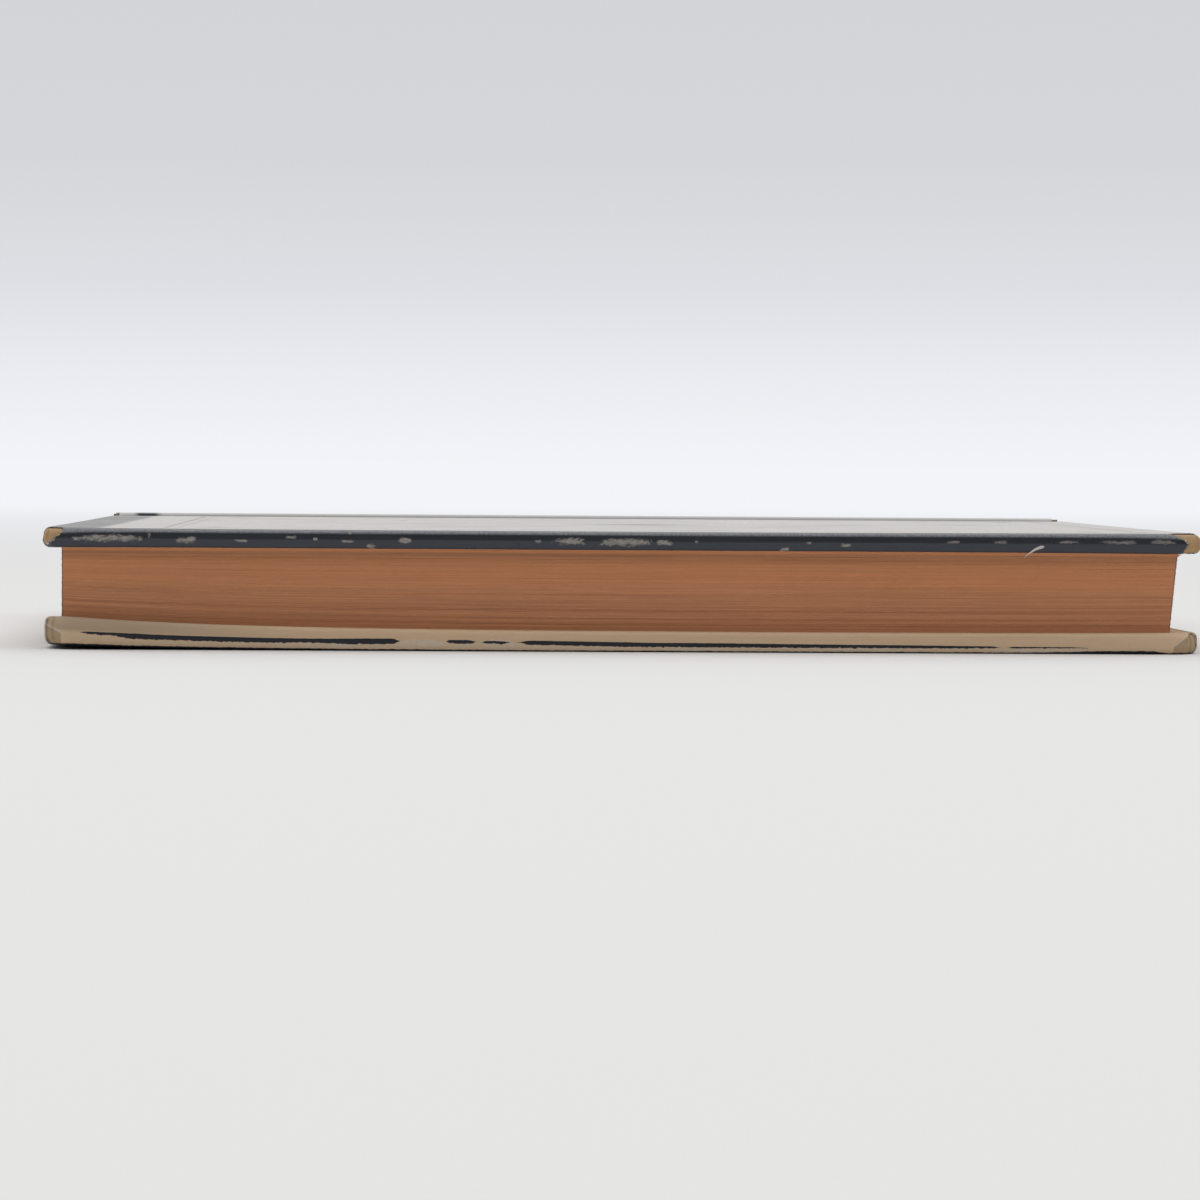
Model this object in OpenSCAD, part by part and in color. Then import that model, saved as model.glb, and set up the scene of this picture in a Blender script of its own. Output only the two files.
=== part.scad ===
// Square-backed, case-bound hardback book lying closed on its back cover.
// X runs from tail (-X) to head (+X), Y from fore-edge (-Y) to spine (+Y), Z up.
// The origin is the middle of the rectangle that the closed book covers on the table.

/* [Boards] */
// Height of each board, from tail to head
board_h = 196.5; // [150:0.5:240]
// Width of each board, from fore-edge to joint
board_w = 131; // [100:0.5:170]
// Thickness of the bare pulp board
board_t = 2.65; // [1.8:0.05:3.4]
// Radius that wear has given the two fore-edge corners
corner_r = 2.6; // [1.5:0.1:5]
// Radius of the softened long edges of a board
arris_r = 0.85; // [0.4:0.05:0.85]

/* [Covering paper] */
// Thickness of the printed covering paper
covering_t = 0.25; // [0.15:0.05:0.4]
// Width of the paper turned in over the inner face of the boards
turn_in = 14; // [8:0.5:20]
// Reach of the worn-through patch at the front cover's tail corner
bare_tail = 3.1; // [2.5:0.1:7]
// Reach of the worn-through patch at the front cover's head corner
bare_head = 5.4; // [2.5:0.1:7]

/* [Curled corner] */
// How far the damp-swollen tail corner of the back cover has risen into the leaves
curl_rise = 1.3; // [0:0.1:1.8]
// How far the underside of that corner has left the table
curl_lift = 0.7; // [0:0.1:1.2]
// Reach of the curl along the fore-edge
curl_reach = 28; // [12:1:34]
// Reach of the curl along the tail
curl_depth = 22; // [10:1:28]

/* [Text block] */
// Thickness of the pages, without endpapers
block_t = 13.3; // [8:0.1:24]
// Number of folded sections in the block
sections = 14; // [6:1:20]
// Layers of leaves that show in the trimmed edge of one section
layers = 4; // [1:1:6]
// Overhang of the boards past the leaves at head and tail
square_ends = 3.2; // [2:0.1:5]
// Overhang of the boards past the leaves at the fore-edge
square_fore = 3; // [2:0.1:5]
// How much longer the top leaf is than the bottom one at the out-of-square head
head_skew = 1.2; // [0:0.1:2]
// Largest step between neighbouring layers in the trimmed edges
edge_step = 0.09; // [0.02:0.01:0.15]
// Chamfer that stands for the round back fold of a section
fold_bevel = 0.25; // [0.1:0.05:0.35]
// Depth, from the back of the block, over which the sections show as separate folds
fold_depth = 1; // [0.6:0.1:2]

/* [Sewing] */
// Number of sewing stations along the spine
stations = 5; // [3:1:7]
// Distance of the end stations from head and tail
kettle_inset = 14; // [8:1:25]
// Diameter of the linen thread
thread_d = 0.6; // [0.4:0.05:0.8]

/* [Endpapers] */
// Thickness of an endpaper leaf
endpaper_t = 0.15; // [0.1:0.05:0.25]

/* [Spine] */
// Width of the joint, from the edge of a board to the back of the sections
joint_w = 6.5; // [6:0.1:9]
// Thickness of the gauze glued over the back of the sections
mull_t = 0.2; // [0.1:0.05:0.3]
// Thickness of the paper that lines the gauze
lining_t = 0.15; // [0.1:0.05:0.3]
// Free space of the hollow back behind the lining
hollow_t = 0.5; // [0.45:0.05:1]
// Thickness of the card strip in the spine
inlay_t = 1; // [0.8:0.1:1.4]
// Rise of the spine's edge above the front cover
ridge_rise = 0.5; // [0:0.05:0.8]
// Distance that the spine's lower edge stays off the table
ridge_lift = 0.3; // [0.1:0.05:0.6]

/* [Clearances] */
// Gap in the joint between what stays with the spine and what swings with a cover
joint_gap = 0.3; // [0.2:0.05:0.5]
// Room that a swinging cover leaves round the edge of the spine
swing_gap = 0.4; // [0.3:0.05:0.6]
// Room round an inner layer in the recess that holds it
fit_gap = 0.1; // [0.05:0.05:0.2]

/* [Hidden] */
$fn = 32;
eps = 0.5;         // how far a cutting shape runs past what it cuts
seam = 0.01;       // how far a layer of leaves reaches into the next, so the block is one solid
core_r = 0.4;      // flat left in the middle of the smallest rounded corner
arc_steps = 4;     // facets in a quarter of a rounded rim
fore_seed = 11;    // the three trimmed edges have steps of their own
head_seed = 23;
tail_seed = 37;

// Heights above the middle plane of the book, the same upwards and downwards
page_top = block_t / 2;
leaf_plane = page_top + endpaper_t;      // where flyleaf and pastedown part
groove_z = leaf_plane + endpaper_t;      // underside of the turned-in paper
board_in = groove_z + covering_t;
board_out = board_in + board_t;
cover_out = board_out + covering_t;

// Distances from the bare fore-edge of the boards towards the spine
leaf_edge = square_fore;
spine_face = board_w + joint_w;          // back of the folded sections
lining_face = spine_face + mull_t;
hollow_face = lining_face + lining_t;
inlay_in = hollow_face + hollow_t;
inlay_out = inlay_in + inlay_t;
spine_out = inlay_out + covering_t;
y_middle = (spine_out - covering_t) / 2;

// Half lengths along the book
page_half = board_h / 2 - square_ends;
board_half = board_h / 2;
cover_half = board_half + covering_t;

// The curl stays outside the recess between the turn-ins
reach_x = min(curl_reach, 2 * turn_in);
reach_y = min(curl_depth, 2 * turn_in);

// The spine strip stands a little proud of the front cover and clear of the table
ridge_top = cover_out + ridge_rise;
ridge_bottom = -cover_out + ridge_lift;

// A cover turns about the line where the flyleaf leaves the back of the sections
ridge_reach = norm([spine_out - spine_face, ridge_top - leaf_plane]);
lip_r = ridge_reach + swing_gap;
fixed_r = lip_r - joint_gap;

board_grey = [0.70, 0.58, 0.40];
navy_paper = [0.13, 0.14, 0.18];
cream_paper = [0.86, 0.80, 0.68];
stained_pages = [0.60, 0.38, 0.24];
gauze_white = [0.90, 0.88, 0.82];
kraft_brown = [0.66, 0.52, 0.36];
linen = [0.92, 0.89, 0.80];

// Puts distances from the fore-edge and heights from the middle plane into the book's frame
module in_place() {
    translate([0, -y_middle, cover_out]) children();
}

// Extrudes an outline drawn in Y and Z along X
module along_x(x0, x1) {
    translate([x0, 0, 0]) rotate([90, 0, 90]) linear_extrude(x1 - x0) children();
}

module box_between(low, high) {
    translate(low) cube(high - low);
}

// A disc whose upper and lower rims are rounded
module puck(r, z0, z1, rim) {
    arc = [for (step = [0:arc_steps]) 90 * step / arc_steps];
    lower = [for (a = arc) [r - rim + rim * sin(a), z0 + rim - rim * cos(a)]];
    upper = [for (a = arc) [r - rim + rim * cos(a), z1 - rim + rim * sin(a)]];
    rotate_extrude() polygon(concat([[0, z0]], lower, upper, [[0, z1]]));
}

// A rounded disc as thick as the board and its growth; curl 1 is the height of the curled corner
module board_puck(x, v, r, grow, curl) {
    z0 = board_in - grow - curl * curl_rise;
    z1 = board_out + grow - curl * curl_lift;
    translate([x, v, 0]) puck(r, z0, z1, arris_r + grow);
}

module fore_corner(side, grow, curl) {
    r = corner_r + grow;
    board_puck(side * (board_half + grow - r), r - grow, r, grow, curl);
}

module joint_corner(side, grow) {
    r = arris_r + grow + core_r;
    board_puck(side * (board_half + grow - r), board_w + grow - r, r, grow, 0);
}

// The two ends of the crease at which the curl leaves the flat board
module curl_crease(grow) {
    r = arris_r + grow + core_r;
    board_puck(-board_half + reach_x, r - grow, r, grow, 0);
    board_puck(-board_half - grow + r, reach_y, r, grow, 0);
}

module curled_corner(grow) {
    hull() {
        curl_crease(grow);
        fore_corner(-1, grow, 1);
    }
}

// A board-shaped slab with worn fore-edge corners; grow adds the same amount on every side
module board_slab(grow, curled) {
    hull() {
        fore_corner(1, grow, 0);
        joint_corner(1, grow);
        joint_corner(-1, grow);
        if (curled) curl_crease(grow);
        else fore_corner(-1, grow, 0);
    }
    if (curled) curled_corner(grow);
}

module board(curled) {
    color(board_grey) board_slab(0, curled);
}

// The stretch of paper that follows the curled corner, between two growths of the board.
// It stays below top, the height that the same paper has beside the curl.
module curled_leaf(inner, outer, short, top) {
    difference() {
        intersection() {
            curled_corner(outer);
            box_between([-page_half, leaf_edge, 0], [page_half - short, board_w, top]);
        }
        curled_corner(inner);
    }
}

// Paper wrapped over a board, turned in on three sides and carried down into the joint.
// Each entry of worn is the side of a fore-edge corner and the reach of its bare patch.
module cover_paper(worn, curled) {
    window_x = board_half - turn_in;
    lip_end = spine_face - lip_r;
    color(navy_paper) difference() {
        union() {
            board_slab(covering_t, curled);
            box_between([-board_half + arris_r, board_w - arris_r, groove_z],
                        [board_half - arris_r, lip_end, board_in]);
        }
        board_slab(0, curled);
        box_between([-window_x, turn_in, groove_z - eps], [window_x, board_w, board_in + eps]);
        for (patch = worn) {
            translate([patch[0] * cover_half, -covering_t, groove_z - eps])
                cylinder(r = patch[1], h = board_t + 2 * covering_t + 2 * eps);
        }
    }
}

// Endpaper leaf glued inside a cover: it steps up into the recess between the turn-ins.
// Its head edge was trimmed with the block, so short is what the trim took off there.
module pastedown(short, curled) {
    window_x = board_half - turn_in - fit_gap;
    v0 = turn_in + fit_gap;
    v1 = board_w - arris_r - fit_gap;
    lip_end = spine_face - lip_r;
    color(cream_paper) {
        difference() {
            union() {
                box_between([-page_half, leaf_edge, leaf_plane],
                            [page_half - short, lip_end, groove_z]);
                box_between([-window_x, v0, leaf_plane], [window_x, v1, board_in]);
            }
            box_between([-window_x + endpaper_t, v0 + endpaper_t, leaf_plane - eps],
                        [window_x - endpaper_t, v1 - endpaper_t, board_in - endpaper_t]);
            if (curled) curled_corner(covering_t);
        }
        if (curled) curled_leaf(covering_t, covering_t + endpaper_t, short, groove_z);
    }
}

// Free endpaper on the block, with the folded gutter that leads to the pastedown
module flyleaf(short, curled) {
    under = covering_t + endpaper_t;
    color(cream_paper) {
        difference() {
            box_between([-page_half, leaf_edge, page_top],
                        [page_half - short, spine_face, leaf_plane]);
            if (curled) curled_corner(under);
        }
        box_between([-page_half, spine_face - fixed_r, leaf_plane],
                    [page_half - short, spine_face, groove_z]);
        if (curled) curled_leaf(under, under + endpaper_t, short, leaf_plane);
    }
}

// Pages in folded sections, with trimmed edges stepped leaf by leaf and kerfs for the thread.
// The curled corner of the back cover has pressed the last leaves together at the tail.
module text_block() {
    fold_start = spine_face - fold_depth;
    bevel = min(fold_bevel, block_t / sections / 3);
    count = sections * layers;
    fore = rands(0, edge_step, count, fore_seed);
    head = rands(0, edge_step, count, head_seed);
    tail = rands(0, edge_step, count, tail_seed);
    color(stained_pages) difference() {
        union() {
            for (i = [0:count - 1]) {
                skew = head_skew * ((i + 0.5) / count - 1);
                top = i < count - 1 ? level(i + 1) + seam : page_top;
                box_between([-page_half + tail[i], leaf_edge + fore[i], level(i)],
                            [page_half - head[i] + skew, fold_start, top]);
            }
            for (s = [0:sections - 1]) {
                z0 = level(s * layers);
                z1 = level((s + 1) * layers);
                skew = head_skew * ((s + 0.5) / sections - 1);
                along_x(-page_half + edge_step, page_half - edge_step + skew)
                    polygon([
                        [fold_start - bevel, z0],
                        [spine_face - bevel, z0],
                        [spine_face, z0 + bevel],
                        [spine_face, z1 - bevel],
                        [spine_face - bevel, z1],
                        [fold_start - bevel, z1]
                    ]);
            }
        }
        for (x = station_places()) {
            box_between([x - kerf_w() / 2, spine_face - kerf_w(), -page_top - eps],
                        [x + kerf_w() / 2, spine_face + eps, page_top + eps]);
        }
        mirror([0, 0, 1]) curled_corner(covering_t + 2 * endpaper_t);
    }
}

// Height of the lower face of a layer, counted from the bottom leaf
function level(i) = -page_top + block_t * i / (sections * layers);

function kerf_w() = thread_d + 2 * fit_gap;

function station_places() =
    let (reach = page_half - head_skew - kettle_inset)
    [for (i = [0:stations - 1]) -reach + 2 * reach * i / (stations - 1)];

// Linen threads lying in the sawn kerfs, one at each station
module sewing_threads() {
    thread_y = spine_face - kerf_w() / 2;
    end_room = block_t / sections / 2;
    color(linen) for (x = station_places()) {
        translate([x, thread_y, -page_top + end_room])
            cylinder(d = thread_d, h = block_t - 2 * end_room);
    }
}

// Gauze over the back of the block, with a flange in each joint
module spine_mull() {
    color(gauze_white) difference() {
        box_between([-page_half + kettle_inset / 2, spine_face - fixed_r, -groove_z - mull_t],
                    [page_half - kettle_inset / 2, lining_face, groove_z + mull_t]);
        box_between([-page_half, spine_face - fixed_r - eps, -groove_z],
                    [page_half, spine_face, groove_z]);
    }
}

module spine_lining() {
    color(kraft_brown)
        box_between([-page_half + head_skew, lining_face, -page_top],
                    [page_half - head_skew, hollow_face, page_top]);
}

// Outline of the spine strip, round along its two outer edges; grow adds paper all round
module inlay_outline(grow) {
    r = inlay_t / 2 + grow;
    y0 = inlay_in - grow;
    y1 = inlay_out + grow;
    z0 = ridge_bottom + covering_t - grow;
    z1 = ridge_top - covering_t + grow;
    translate([y0, z0]) square([r, z1 - z0]);
    translate([y0, z0 + r]) square([y1 - y0, z1 - z0 - 2 * r]);
    translate([y1 - r, z0 + r]) circle(r);
    translate([y1 - r, z1 - r]) circle(r);
}

module spine_inlay() {
    color(kraft_brown) along_x(-board_half, board_half) inlay_outline(0);
}

// Paper round the spine strip, turned in at head and tail and carried into both joints
module spine_covering() {
    strip_z = groove_z + mull_t;
    window_x = board_half - turn_in;
    color(navy_paper) {
        difference() {
            along_x(-cover_half, cover_half) inlay_outline(covering_t);
            along_x(-board_half, board_half) inlay_outline(0);
            box_between([-window_x, inlay_in - covering_t - eps, -strip_z],
                        [window_x, inlay_in, strip_z]);
        }
        for (side = [0, 1]) {
            mirror([0, 0, side])
                box_between([-board_half + arris_r, spine_face - fixed_r, strip_z],
                            [board_half - arris_r, inlay_in, strip_z + covering_t]);
        }
    }
}

in_place() text_block();
in_place() sewing_threads();
in_place() flyleaf(0, false);  // front_flyleaf
in_place() mirror([0, 0, 1]) flyleaf(head_skew, true);  // back_flyleaf
in_place() spine_mull();
in_place() spine_lining();
in_place() spine_inlay();
in_place() spine_covering();
in_place() board(false);  // front_board
in_place() cover_paper([[-1, bare_tail], [1, bare_head]], false);  // front_covering
in_place() pastedown(0, false);  // front_pastedown
in_place() mirror([0, 0, 1]) board(true);  // back_board
in_place() mirror([0, 0, 1]) cover_paper([], true);  // back_covering
in_place() mirror([0, 0, 1]) pastedown(head_skew, true);  // back_pastedown
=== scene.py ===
# A worn, square-backed hardback book, closed and lying on its back cover
import math

import bmesh
import bpy
import numpy as np
from bpy.props import FloatProperty, FloatVectorProperty, IntProperty, PointerProperty
from mathutils import Matrix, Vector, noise


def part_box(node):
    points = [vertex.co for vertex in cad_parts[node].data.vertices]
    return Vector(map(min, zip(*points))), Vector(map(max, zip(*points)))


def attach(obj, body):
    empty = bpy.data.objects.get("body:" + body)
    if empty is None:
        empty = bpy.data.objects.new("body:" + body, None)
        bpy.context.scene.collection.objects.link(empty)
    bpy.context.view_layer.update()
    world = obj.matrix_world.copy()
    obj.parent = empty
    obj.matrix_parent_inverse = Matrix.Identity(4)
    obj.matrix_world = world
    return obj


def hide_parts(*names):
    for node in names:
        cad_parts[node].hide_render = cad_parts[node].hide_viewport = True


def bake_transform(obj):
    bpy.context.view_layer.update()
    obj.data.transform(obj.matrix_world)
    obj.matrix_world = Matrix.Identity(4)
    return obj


bl_info = {
    "name": "Worn Hardback Book",
    "version": (1, 0, 0),
    "blender": (4, 5, 0),
    "location": "3D View > Sidebar > Book",
    "description": "Papers, boards, pages and wear of a hardback book around its packed frame",
    "category": "Add Mesh",
}

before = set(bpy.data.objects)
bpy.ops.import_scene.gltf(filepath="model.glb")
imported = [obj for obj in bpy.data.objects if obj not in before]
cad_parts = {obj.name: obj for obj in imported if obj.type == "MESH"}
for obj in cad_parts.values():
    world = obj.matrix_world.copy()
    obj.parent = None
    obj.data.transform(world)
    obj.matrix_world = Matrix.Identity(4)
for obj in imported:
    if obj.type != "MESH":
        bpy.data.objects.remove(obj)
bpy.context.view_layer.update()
MM = 0.001


def box_mm(node):
    """Lowest and highest corner of a frame node, in millimetres"""
    return [np.array(corner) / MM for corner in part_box(node)]


FRONT_LOW, FRONT_HIGH = box_mm("front_covering")
BACK_LOW, BACK_HIGH = box_mm("back_covering")
FRONT_BOARD = box_mm("front_board")
BACK_BOARD = box_mm("back_board")
PAGES_LOW, PAGES_HIGH = box_mm("text_block")
FRONT_LEAF = box_mm("front_flyleaf")
BACK_LEAF = box_mm("back_flyleaf")
FRONT_PASTE = box_mm("front_pastedown")
BACK_PASTE = box_mm("back_pastedown")
SPINE_LOW, SPINE_HIGH = box_mm("spine_covering")
INLAY_LOW = box_mm("spine_inlay")[0]
MIDDLE_Z = (BACK_LOW[2] + FRONT_HIGH[2]) / 2
# Height of the back cover's inner face away from the curl, the mirror image of the front's
BACK_HIGH_FLAT = 2 * MIDDLE_Z - FRONT_LOW[2]
FORE_Y = FRONT_LOW[1]
JOINT_Y = FRONT_BOARD[1][1]
LIP_Y = FRONT_HIGH[1]
FIXED_Y = SPINE_LOW[1]
# Thickness of an endpaper, in millimetres
ENDPAPER = 0.15
# Clearance that keeps the front cover's fore-edge just behind the CAD box, in millimetres
FORE_CLEARANCE = 0.12


def srgb(red, green, blue):
    """Linear colour of a shade given in the usual 0 to 255 steps"""
    shares = [step / 255 for step in (red, green, blue)]
    return [s / 12.92 if s <= 0.04045 else ((s + 0.055) / 1.055) ** 2.4 for s in shares] + [1.0]


def length(name, description, default, low=0.0, high=1.0):
    """A size in metres that the panel shows"""
    return FloatProperty(name=name, description=description, default=default, min=low, max=high,
                         unit="LENGTH", precision=5)


def colour(name, description, red, green, blue):
    """A colour that the panel shows"""
    return FloatVectorProperty(name=name, description=description, default=srgb(red, green, blue),
                               size=4, min=0.0, max=1.0, subtype="COLOR")


class BookSizes(bpy.types.PropertyGroup):
    """Sizes of the papers, boards and leaves"""
    paper: length("Covering paper", "Thickness of the printed covering paper", 0.00025)
    turn_in: length("Turn-in", "Width of the paper folded round each board", 0.014)
    arris: length("Arris", "Rounding of the boards' outer arrises", 0.00085)
    inner_arris: length("Inner arris", "Rounding of the boards' inner arrises", 0.0005)
    corner: length("Corner, front", "Rounding of the front board's fore-edge corners", 0.0024)
    back_corner: length("Corner, back", "Rounding of the back board's fore-edge corners", 0.0055)
    bullnose: length("Bullnose", "Rounding of the arrises at the fore-edge corners", 0.00155)
    leaf_count: IntProperty(name="Leaves", description="Leaves that the pages are drawn with",
                            default=112, min=14, max=160)
    section_count: IntProperty(name="Sections", description="Folded sections of the pages",
                               default=14, min=4, max=30)
    leaf_step: length("Leaf step", "How far single leaves lie behind the trimmed face", 0.00005)
    top_leaf: length("Top leaf", "How far the top leaves reach past the head", 0.0005)
    page_shift: length("Page shift", "How far the pages sit towards the tail", 0.0004)


class BookColours(bpy.types.PropertyGroup):
    """Colours of the papers, inks and boards"""
    navy: colour("Navy ink", "Ground of the printed covering paper", 24, 27, 36)
    # Also used as a painted reflection of the floor low on the front cover's edge, and as painted shade
    # on the back cover's edge and folded corners
    slate: colour("Rubbed ink", "Navy ink where handling has rubbed it", 64, 68, 76)
    # Arris colour: partly rubbed ink, partly a painted sheen of the light on the rounded arrises
    sheen: colour("Polished arris", "Ink thinned and polished along the arrises", 142, 143, 148)
    field: colour("Pale field", "Panel printed on the front cover", 208, 203, 195)
    # Pale ridge colour: rubbed paper and a painted sheen of the bright backdrop
    ridge_rub_and_sheen: colour("Rubbed ridge", "Paper of the spine's ridge, rubbed bare", 217, 216, 213)
    motif: colour("Panel motif", "Ornament inside the pale panel", 178, 172, 163)
    bare_paper: colour("Bare paper", "Unprinted covering paper", 216, 188, 155)
    torn_paper: colour("Torn paper", "Core of the covering paper where it is torn", 208, 200, 188)
    scuff: colour("Scuff", "Paper where the ink is scuffed away", 168, 161, 153)
    pulp: colour("Pulp board", "Raw orange-tan board", 190, 154, 112)
    pages: colour("Page edges", "Stained edges of the pages", 208, 146, 106)
    # Paler stain, also the painted light on the upper part of the page face
    pages_thin_stain_and_lit: colour("Light page edges", "Page edges where the stain is thin", 238, 162, 112)
    endpaper: colour("Endpaper", "Uncoated endpapers", 232, 220, 194)
    gauze: colour("Gauze", "Threads of the gauze", 226, 220, 204)
    glue: colour("Glue", "Glue in the meshes of the gauze", 150, 128, 92)
    kraft: colour("Kraft", "Kraft lining of the spine", 172, 138, 98)
    kraft_dark: colour("Dark kraft", "Cloudy parts of the kraft lining", 146, 112, 76)
    card: colour("Card", "Card strip of the spine", 176, 152, 122)
    card_dark: colour("Dark card", "Darker layers of the card strip", 140, 118, 92)
    thread: colour("Thread", "Linen thread", 234, 226, 204)
    # Painted shade in the grooves of the thread's twist
    thread_groove_shade: colour("Thread's twist", "Grooves between the turns of the thread", 196, 184, 156)
    floor: colour("Floor", "Pale table", 233, 233, 231)


class BookWear(bpy.types.PropertyGroup):
    """How worn the book is"""
    rise: length("Curl, inner face", "Rise of the curled corner's inner face", 0.00265)
    lift: length("Curl, underside", "Rise of the curled corner's underside", 0.0009)
    curl_along: length("Curl, length", "Reach of the curl along the book", 0.031)
    curl_across: length("Curl, depth", "Reach of the curl across the book", 0.02)
    lift_along: length("Underside, length", "Reach of the underside's curl along the book", 0.025)
    lift_across: length("Underside, depth", "Reach of the underside's curl across the book", 0.014)
    head_rise: length("Head corner", "Swelling of the back board's head corner", 0.00035)
    head_along: length("Head corner, length", "Reach of that swelling along the book", 0.025)
    head_across: length("Head corner, depth", "Reach of that swelling across the book", 0.02)
    bare_tail: length("Bare corner, tail", "Reach of the bare board at the tail", 0.0031)
    bare_head: length("Bare corner, head", "Reach of the bare board at the head", 0.0054)
    back_bare_tail: length("Back corner, tail", "Reach of the back board's bare tail corner", 0.002)
    back_bare_head: length("Back corner, head", "Reach of the back board's bare head corner", 0.0026)
    swell: length("Swollen corners", "Swelling of the front board's fore-edge corners", 0.00025)
    warp: length("Warp", "Rise of the front board towards the head", 0.00027)
    thick_edge: length("Thick edge", "Swelling of the back board along its fore-edge", 0.0002)
    fray: length("Frayed spine", "Depth of the fraying at the spine's ends", 0.0022)


class BookStage(bpy.types.PropertyGroup):
    """Light of the plain studio"""
    sky: FloatProperty(name="Sky", description="Strength of the even light", default=0.68)
    behind: FloatProperty(name="Light from behind", default=0.65, min=0.0, max=1.0,
                          description="How much brighter the sky is behind the book than before it")
    lamp: FloatProperty(name="Lamp", description="Power of the overhead lamp in watts",
                        default=14.0, subtype="POWER")


def shade(name):
    """One of the book's colours, as a value for a socket"""
    return tuple(getattr(bpy.context.scene.book_colours, name))


# Meshes

def graded(start, end, fine, coarse, reach):
    """Lines from start to end, close together within reach of both ends"""
    first = np.arange(start, start + reach, fine)
    last = end - (first - start)[::-1]
    count = max(2, int(round((last[0] - first[-1]) / coarse)) + 1)
    return np.concatenate([first, np.linspace(first[-1], last[0], count)[1:-1], last])


def box_surface(xs, ys, zs):
    """Points and outward quads of a box that is divided at the given lines"""
    shape = (len(xs), len(ys), len(zs))
    edge = np.zeros(shape, bool)
    edge[[0, -1], :, :] = edge[:, [0, -1], :] = edge[:, :, [0, -1]] = True
    number = np.full(shape, -1)
    number[edge] = np.arange(edge.sum())
    points = np.stack(np.meshgrid(xs, ys, zs, indexing="ij"), axis=-1)[edge]

    def quads(sheet):
        corners = (sheet[:-1, :-1], sheet[1:, :-1], sheet[1:, 1:], sheet[:-1, 1:])
        return np.stack([c.ravel() for c in corners], axis=1)

    sides = [quads(number[:, :, -1]), quads(number[:, :, 0])[:, ::-1],
             quads(number[:, 0, :]), quads(number[:, -1, :])[:, ::-1],
             quads(number[-1, :, :]), quads(number[0, :, :])[:, ::-1]]
    return points.astype(float), np.concatenate(sides)


def paper_shell(outer, inner, faces, kept):
    """A sheet of real thickness from its two faces, open where faces aren't kept"""
    kept_faces = faces[kept]
    starts = kept_faces
    ends = np.roll(kept_faces, -1, axis=1)
    edges = np.stack([starts.ravel(), ends.ravel()], axis=1)
    known = {tuple(edge) for edge in edges.tolist()}
    rim = [(b, a) for a, b in known if (b, a) not in known]
    shift = len(outer)
    walls = [(b, a, a + shift, b + shift) for b, a in rim]
    quads = kept_faces.tolist() + (kept_faces[:, ::-1] + shift).tolist() + walls
    return np.concatenate([outer, inner]), quads


def rounded(points, low, high, arris_up, arris_down, corner, bullnose):
    """Points of a box moved onto a slab with round arrises and round, bullnosed fore-edge corners.
    The second result is how sharply the surface turns there, from 0 to 1."""
    middle = (low[2] + high[2]) / 2
    from_end = np.minimum(points[:, 0] - low[0], high[0] - points[:, 0])
    nose = np.exp(-np.hypot(from_end, np.maximum(points[:, 1] - low[1], 0)) / 5.0)
    radius = np.where(points[:, 2] > middle, arris_up, arris_down)
    radius = (radius + (bullnose - radius) * nose)[:, None]
    core = np.clip(points, low + radius, high - radius)
    away = points - core
    reach = np.linalg.norm(away, axis=1, keepdims=True)
    direction = away / np.maximum(reach, 1e-9)
    moved = core + direction * radius
    turn = np.clip(np.sort(np.abs(direction), axis=1)[:, 1] * math.sqrt(2), 0, 1)
    for side in (-1, 1):
        end_x = high[0] if side > 0 else low[0]
        along = (moved[:, 0] - end_x) * side + corner
        across = low[1] + corner - moved[:, 1]
        inside = (along > 0) & (across > 0)
        share = np.maximum(along, across)[inside] / np.hypot(along, across)[inside]
        moved[inside, 0] = end_x + side * (along[inside] * share - corner)
        moved[inside, 1] = low[1] + corner - across[inside] * share
    return moved, turn


def press(points):
    """Points of the flat book moved as the back cover's curled corner and thick edge take them"""
    wear = bpy.context.scene.book_wear
    top = BACK_HIGH_FLAT
    from_tail = np.maximum(points[:, 0] - BACK_LOW[0], 0)
    from_fore = np.maximum(points[:, 1] - BACK_LOW[1], 0)
    from_head = np.maximum(BACK_HIGH[0] - points[:, 0], 0)

    def fading(height, from_end, along, across):
        return height / MM * np.exp(-(from_end / along + from_fore / across) * MM)

    rise = fading(wear.rise, from_tail, wear.curl_along, wear.curl_across)
    rise += fading(wear.head_rise, from_head, wear.head_along, wear.head_across)
    lift = fading(wear.lift, from_tail, wear.lift_along, wear.lift_across)
    through = np.clip(points[:, 2] / top, 0, 1)
    squeeze = np.clip((PAGES_HIGH[2] - points[:, 2]) / (PAGES_HIGH[2] - top), 0, 1)
    moved = points.copy()
    moved[:, 2] += np.where(points[:, 2] < top, lift + (rise - lift) * through, rise * squeeze)
    slope = np.clip((JOINT_Y - points[:, 1]) / (JOINT_Y - FORE_Y), 0, 1)
    moved[:, 2] += wear.thick_edge / MM * slope * through
    return moved


def ripple(points, pitch, seed):
    """Smooth noise from -1 to 1 at each point, with the given distance between its bumps"""
    offset = 17.3 * seed
    return np.array([noise.noise((x / pitch + offset, y / pitch - offset, z / pitch))
                     for x, y, z in points.tolist()])


def add_piece(name, points, faces, flat_points, material, body, slot, nodes=(), smooth=True, **fields):
    """A mesh piece that rides on a body, with its place in the flat book kept on its points"""
    mesh = bpy.data.meshes.new(name)
    mesh.from_pydata((points * MM).tolist(), [], [list(face) for face in faces])
    mesh.update()
    place = mesh.attributes.new("place", "FLOAT_VECTOR", "POINT")
    place.data.foreach_set("vector", flat_points.astype(np.float32).ravel())
    for key, values in fields.items():
        field = mesh.attributes.new(key, "FLOAT", "POINT")
        field.data.foreach_set("value", np.asarray(values, np.float32))
    if smooth:
        mesh.shade_smooth()
    drop_loose(mesh)
    mesh.materials.append(material)
    piece = bpy.data.objects.new(name, mesh)
    bpy.context.scene.collection.objects.link(piece)
    if body:
        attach(piece, body)
    if nodes:
        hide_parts(*nodes)
    return piece


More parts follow.
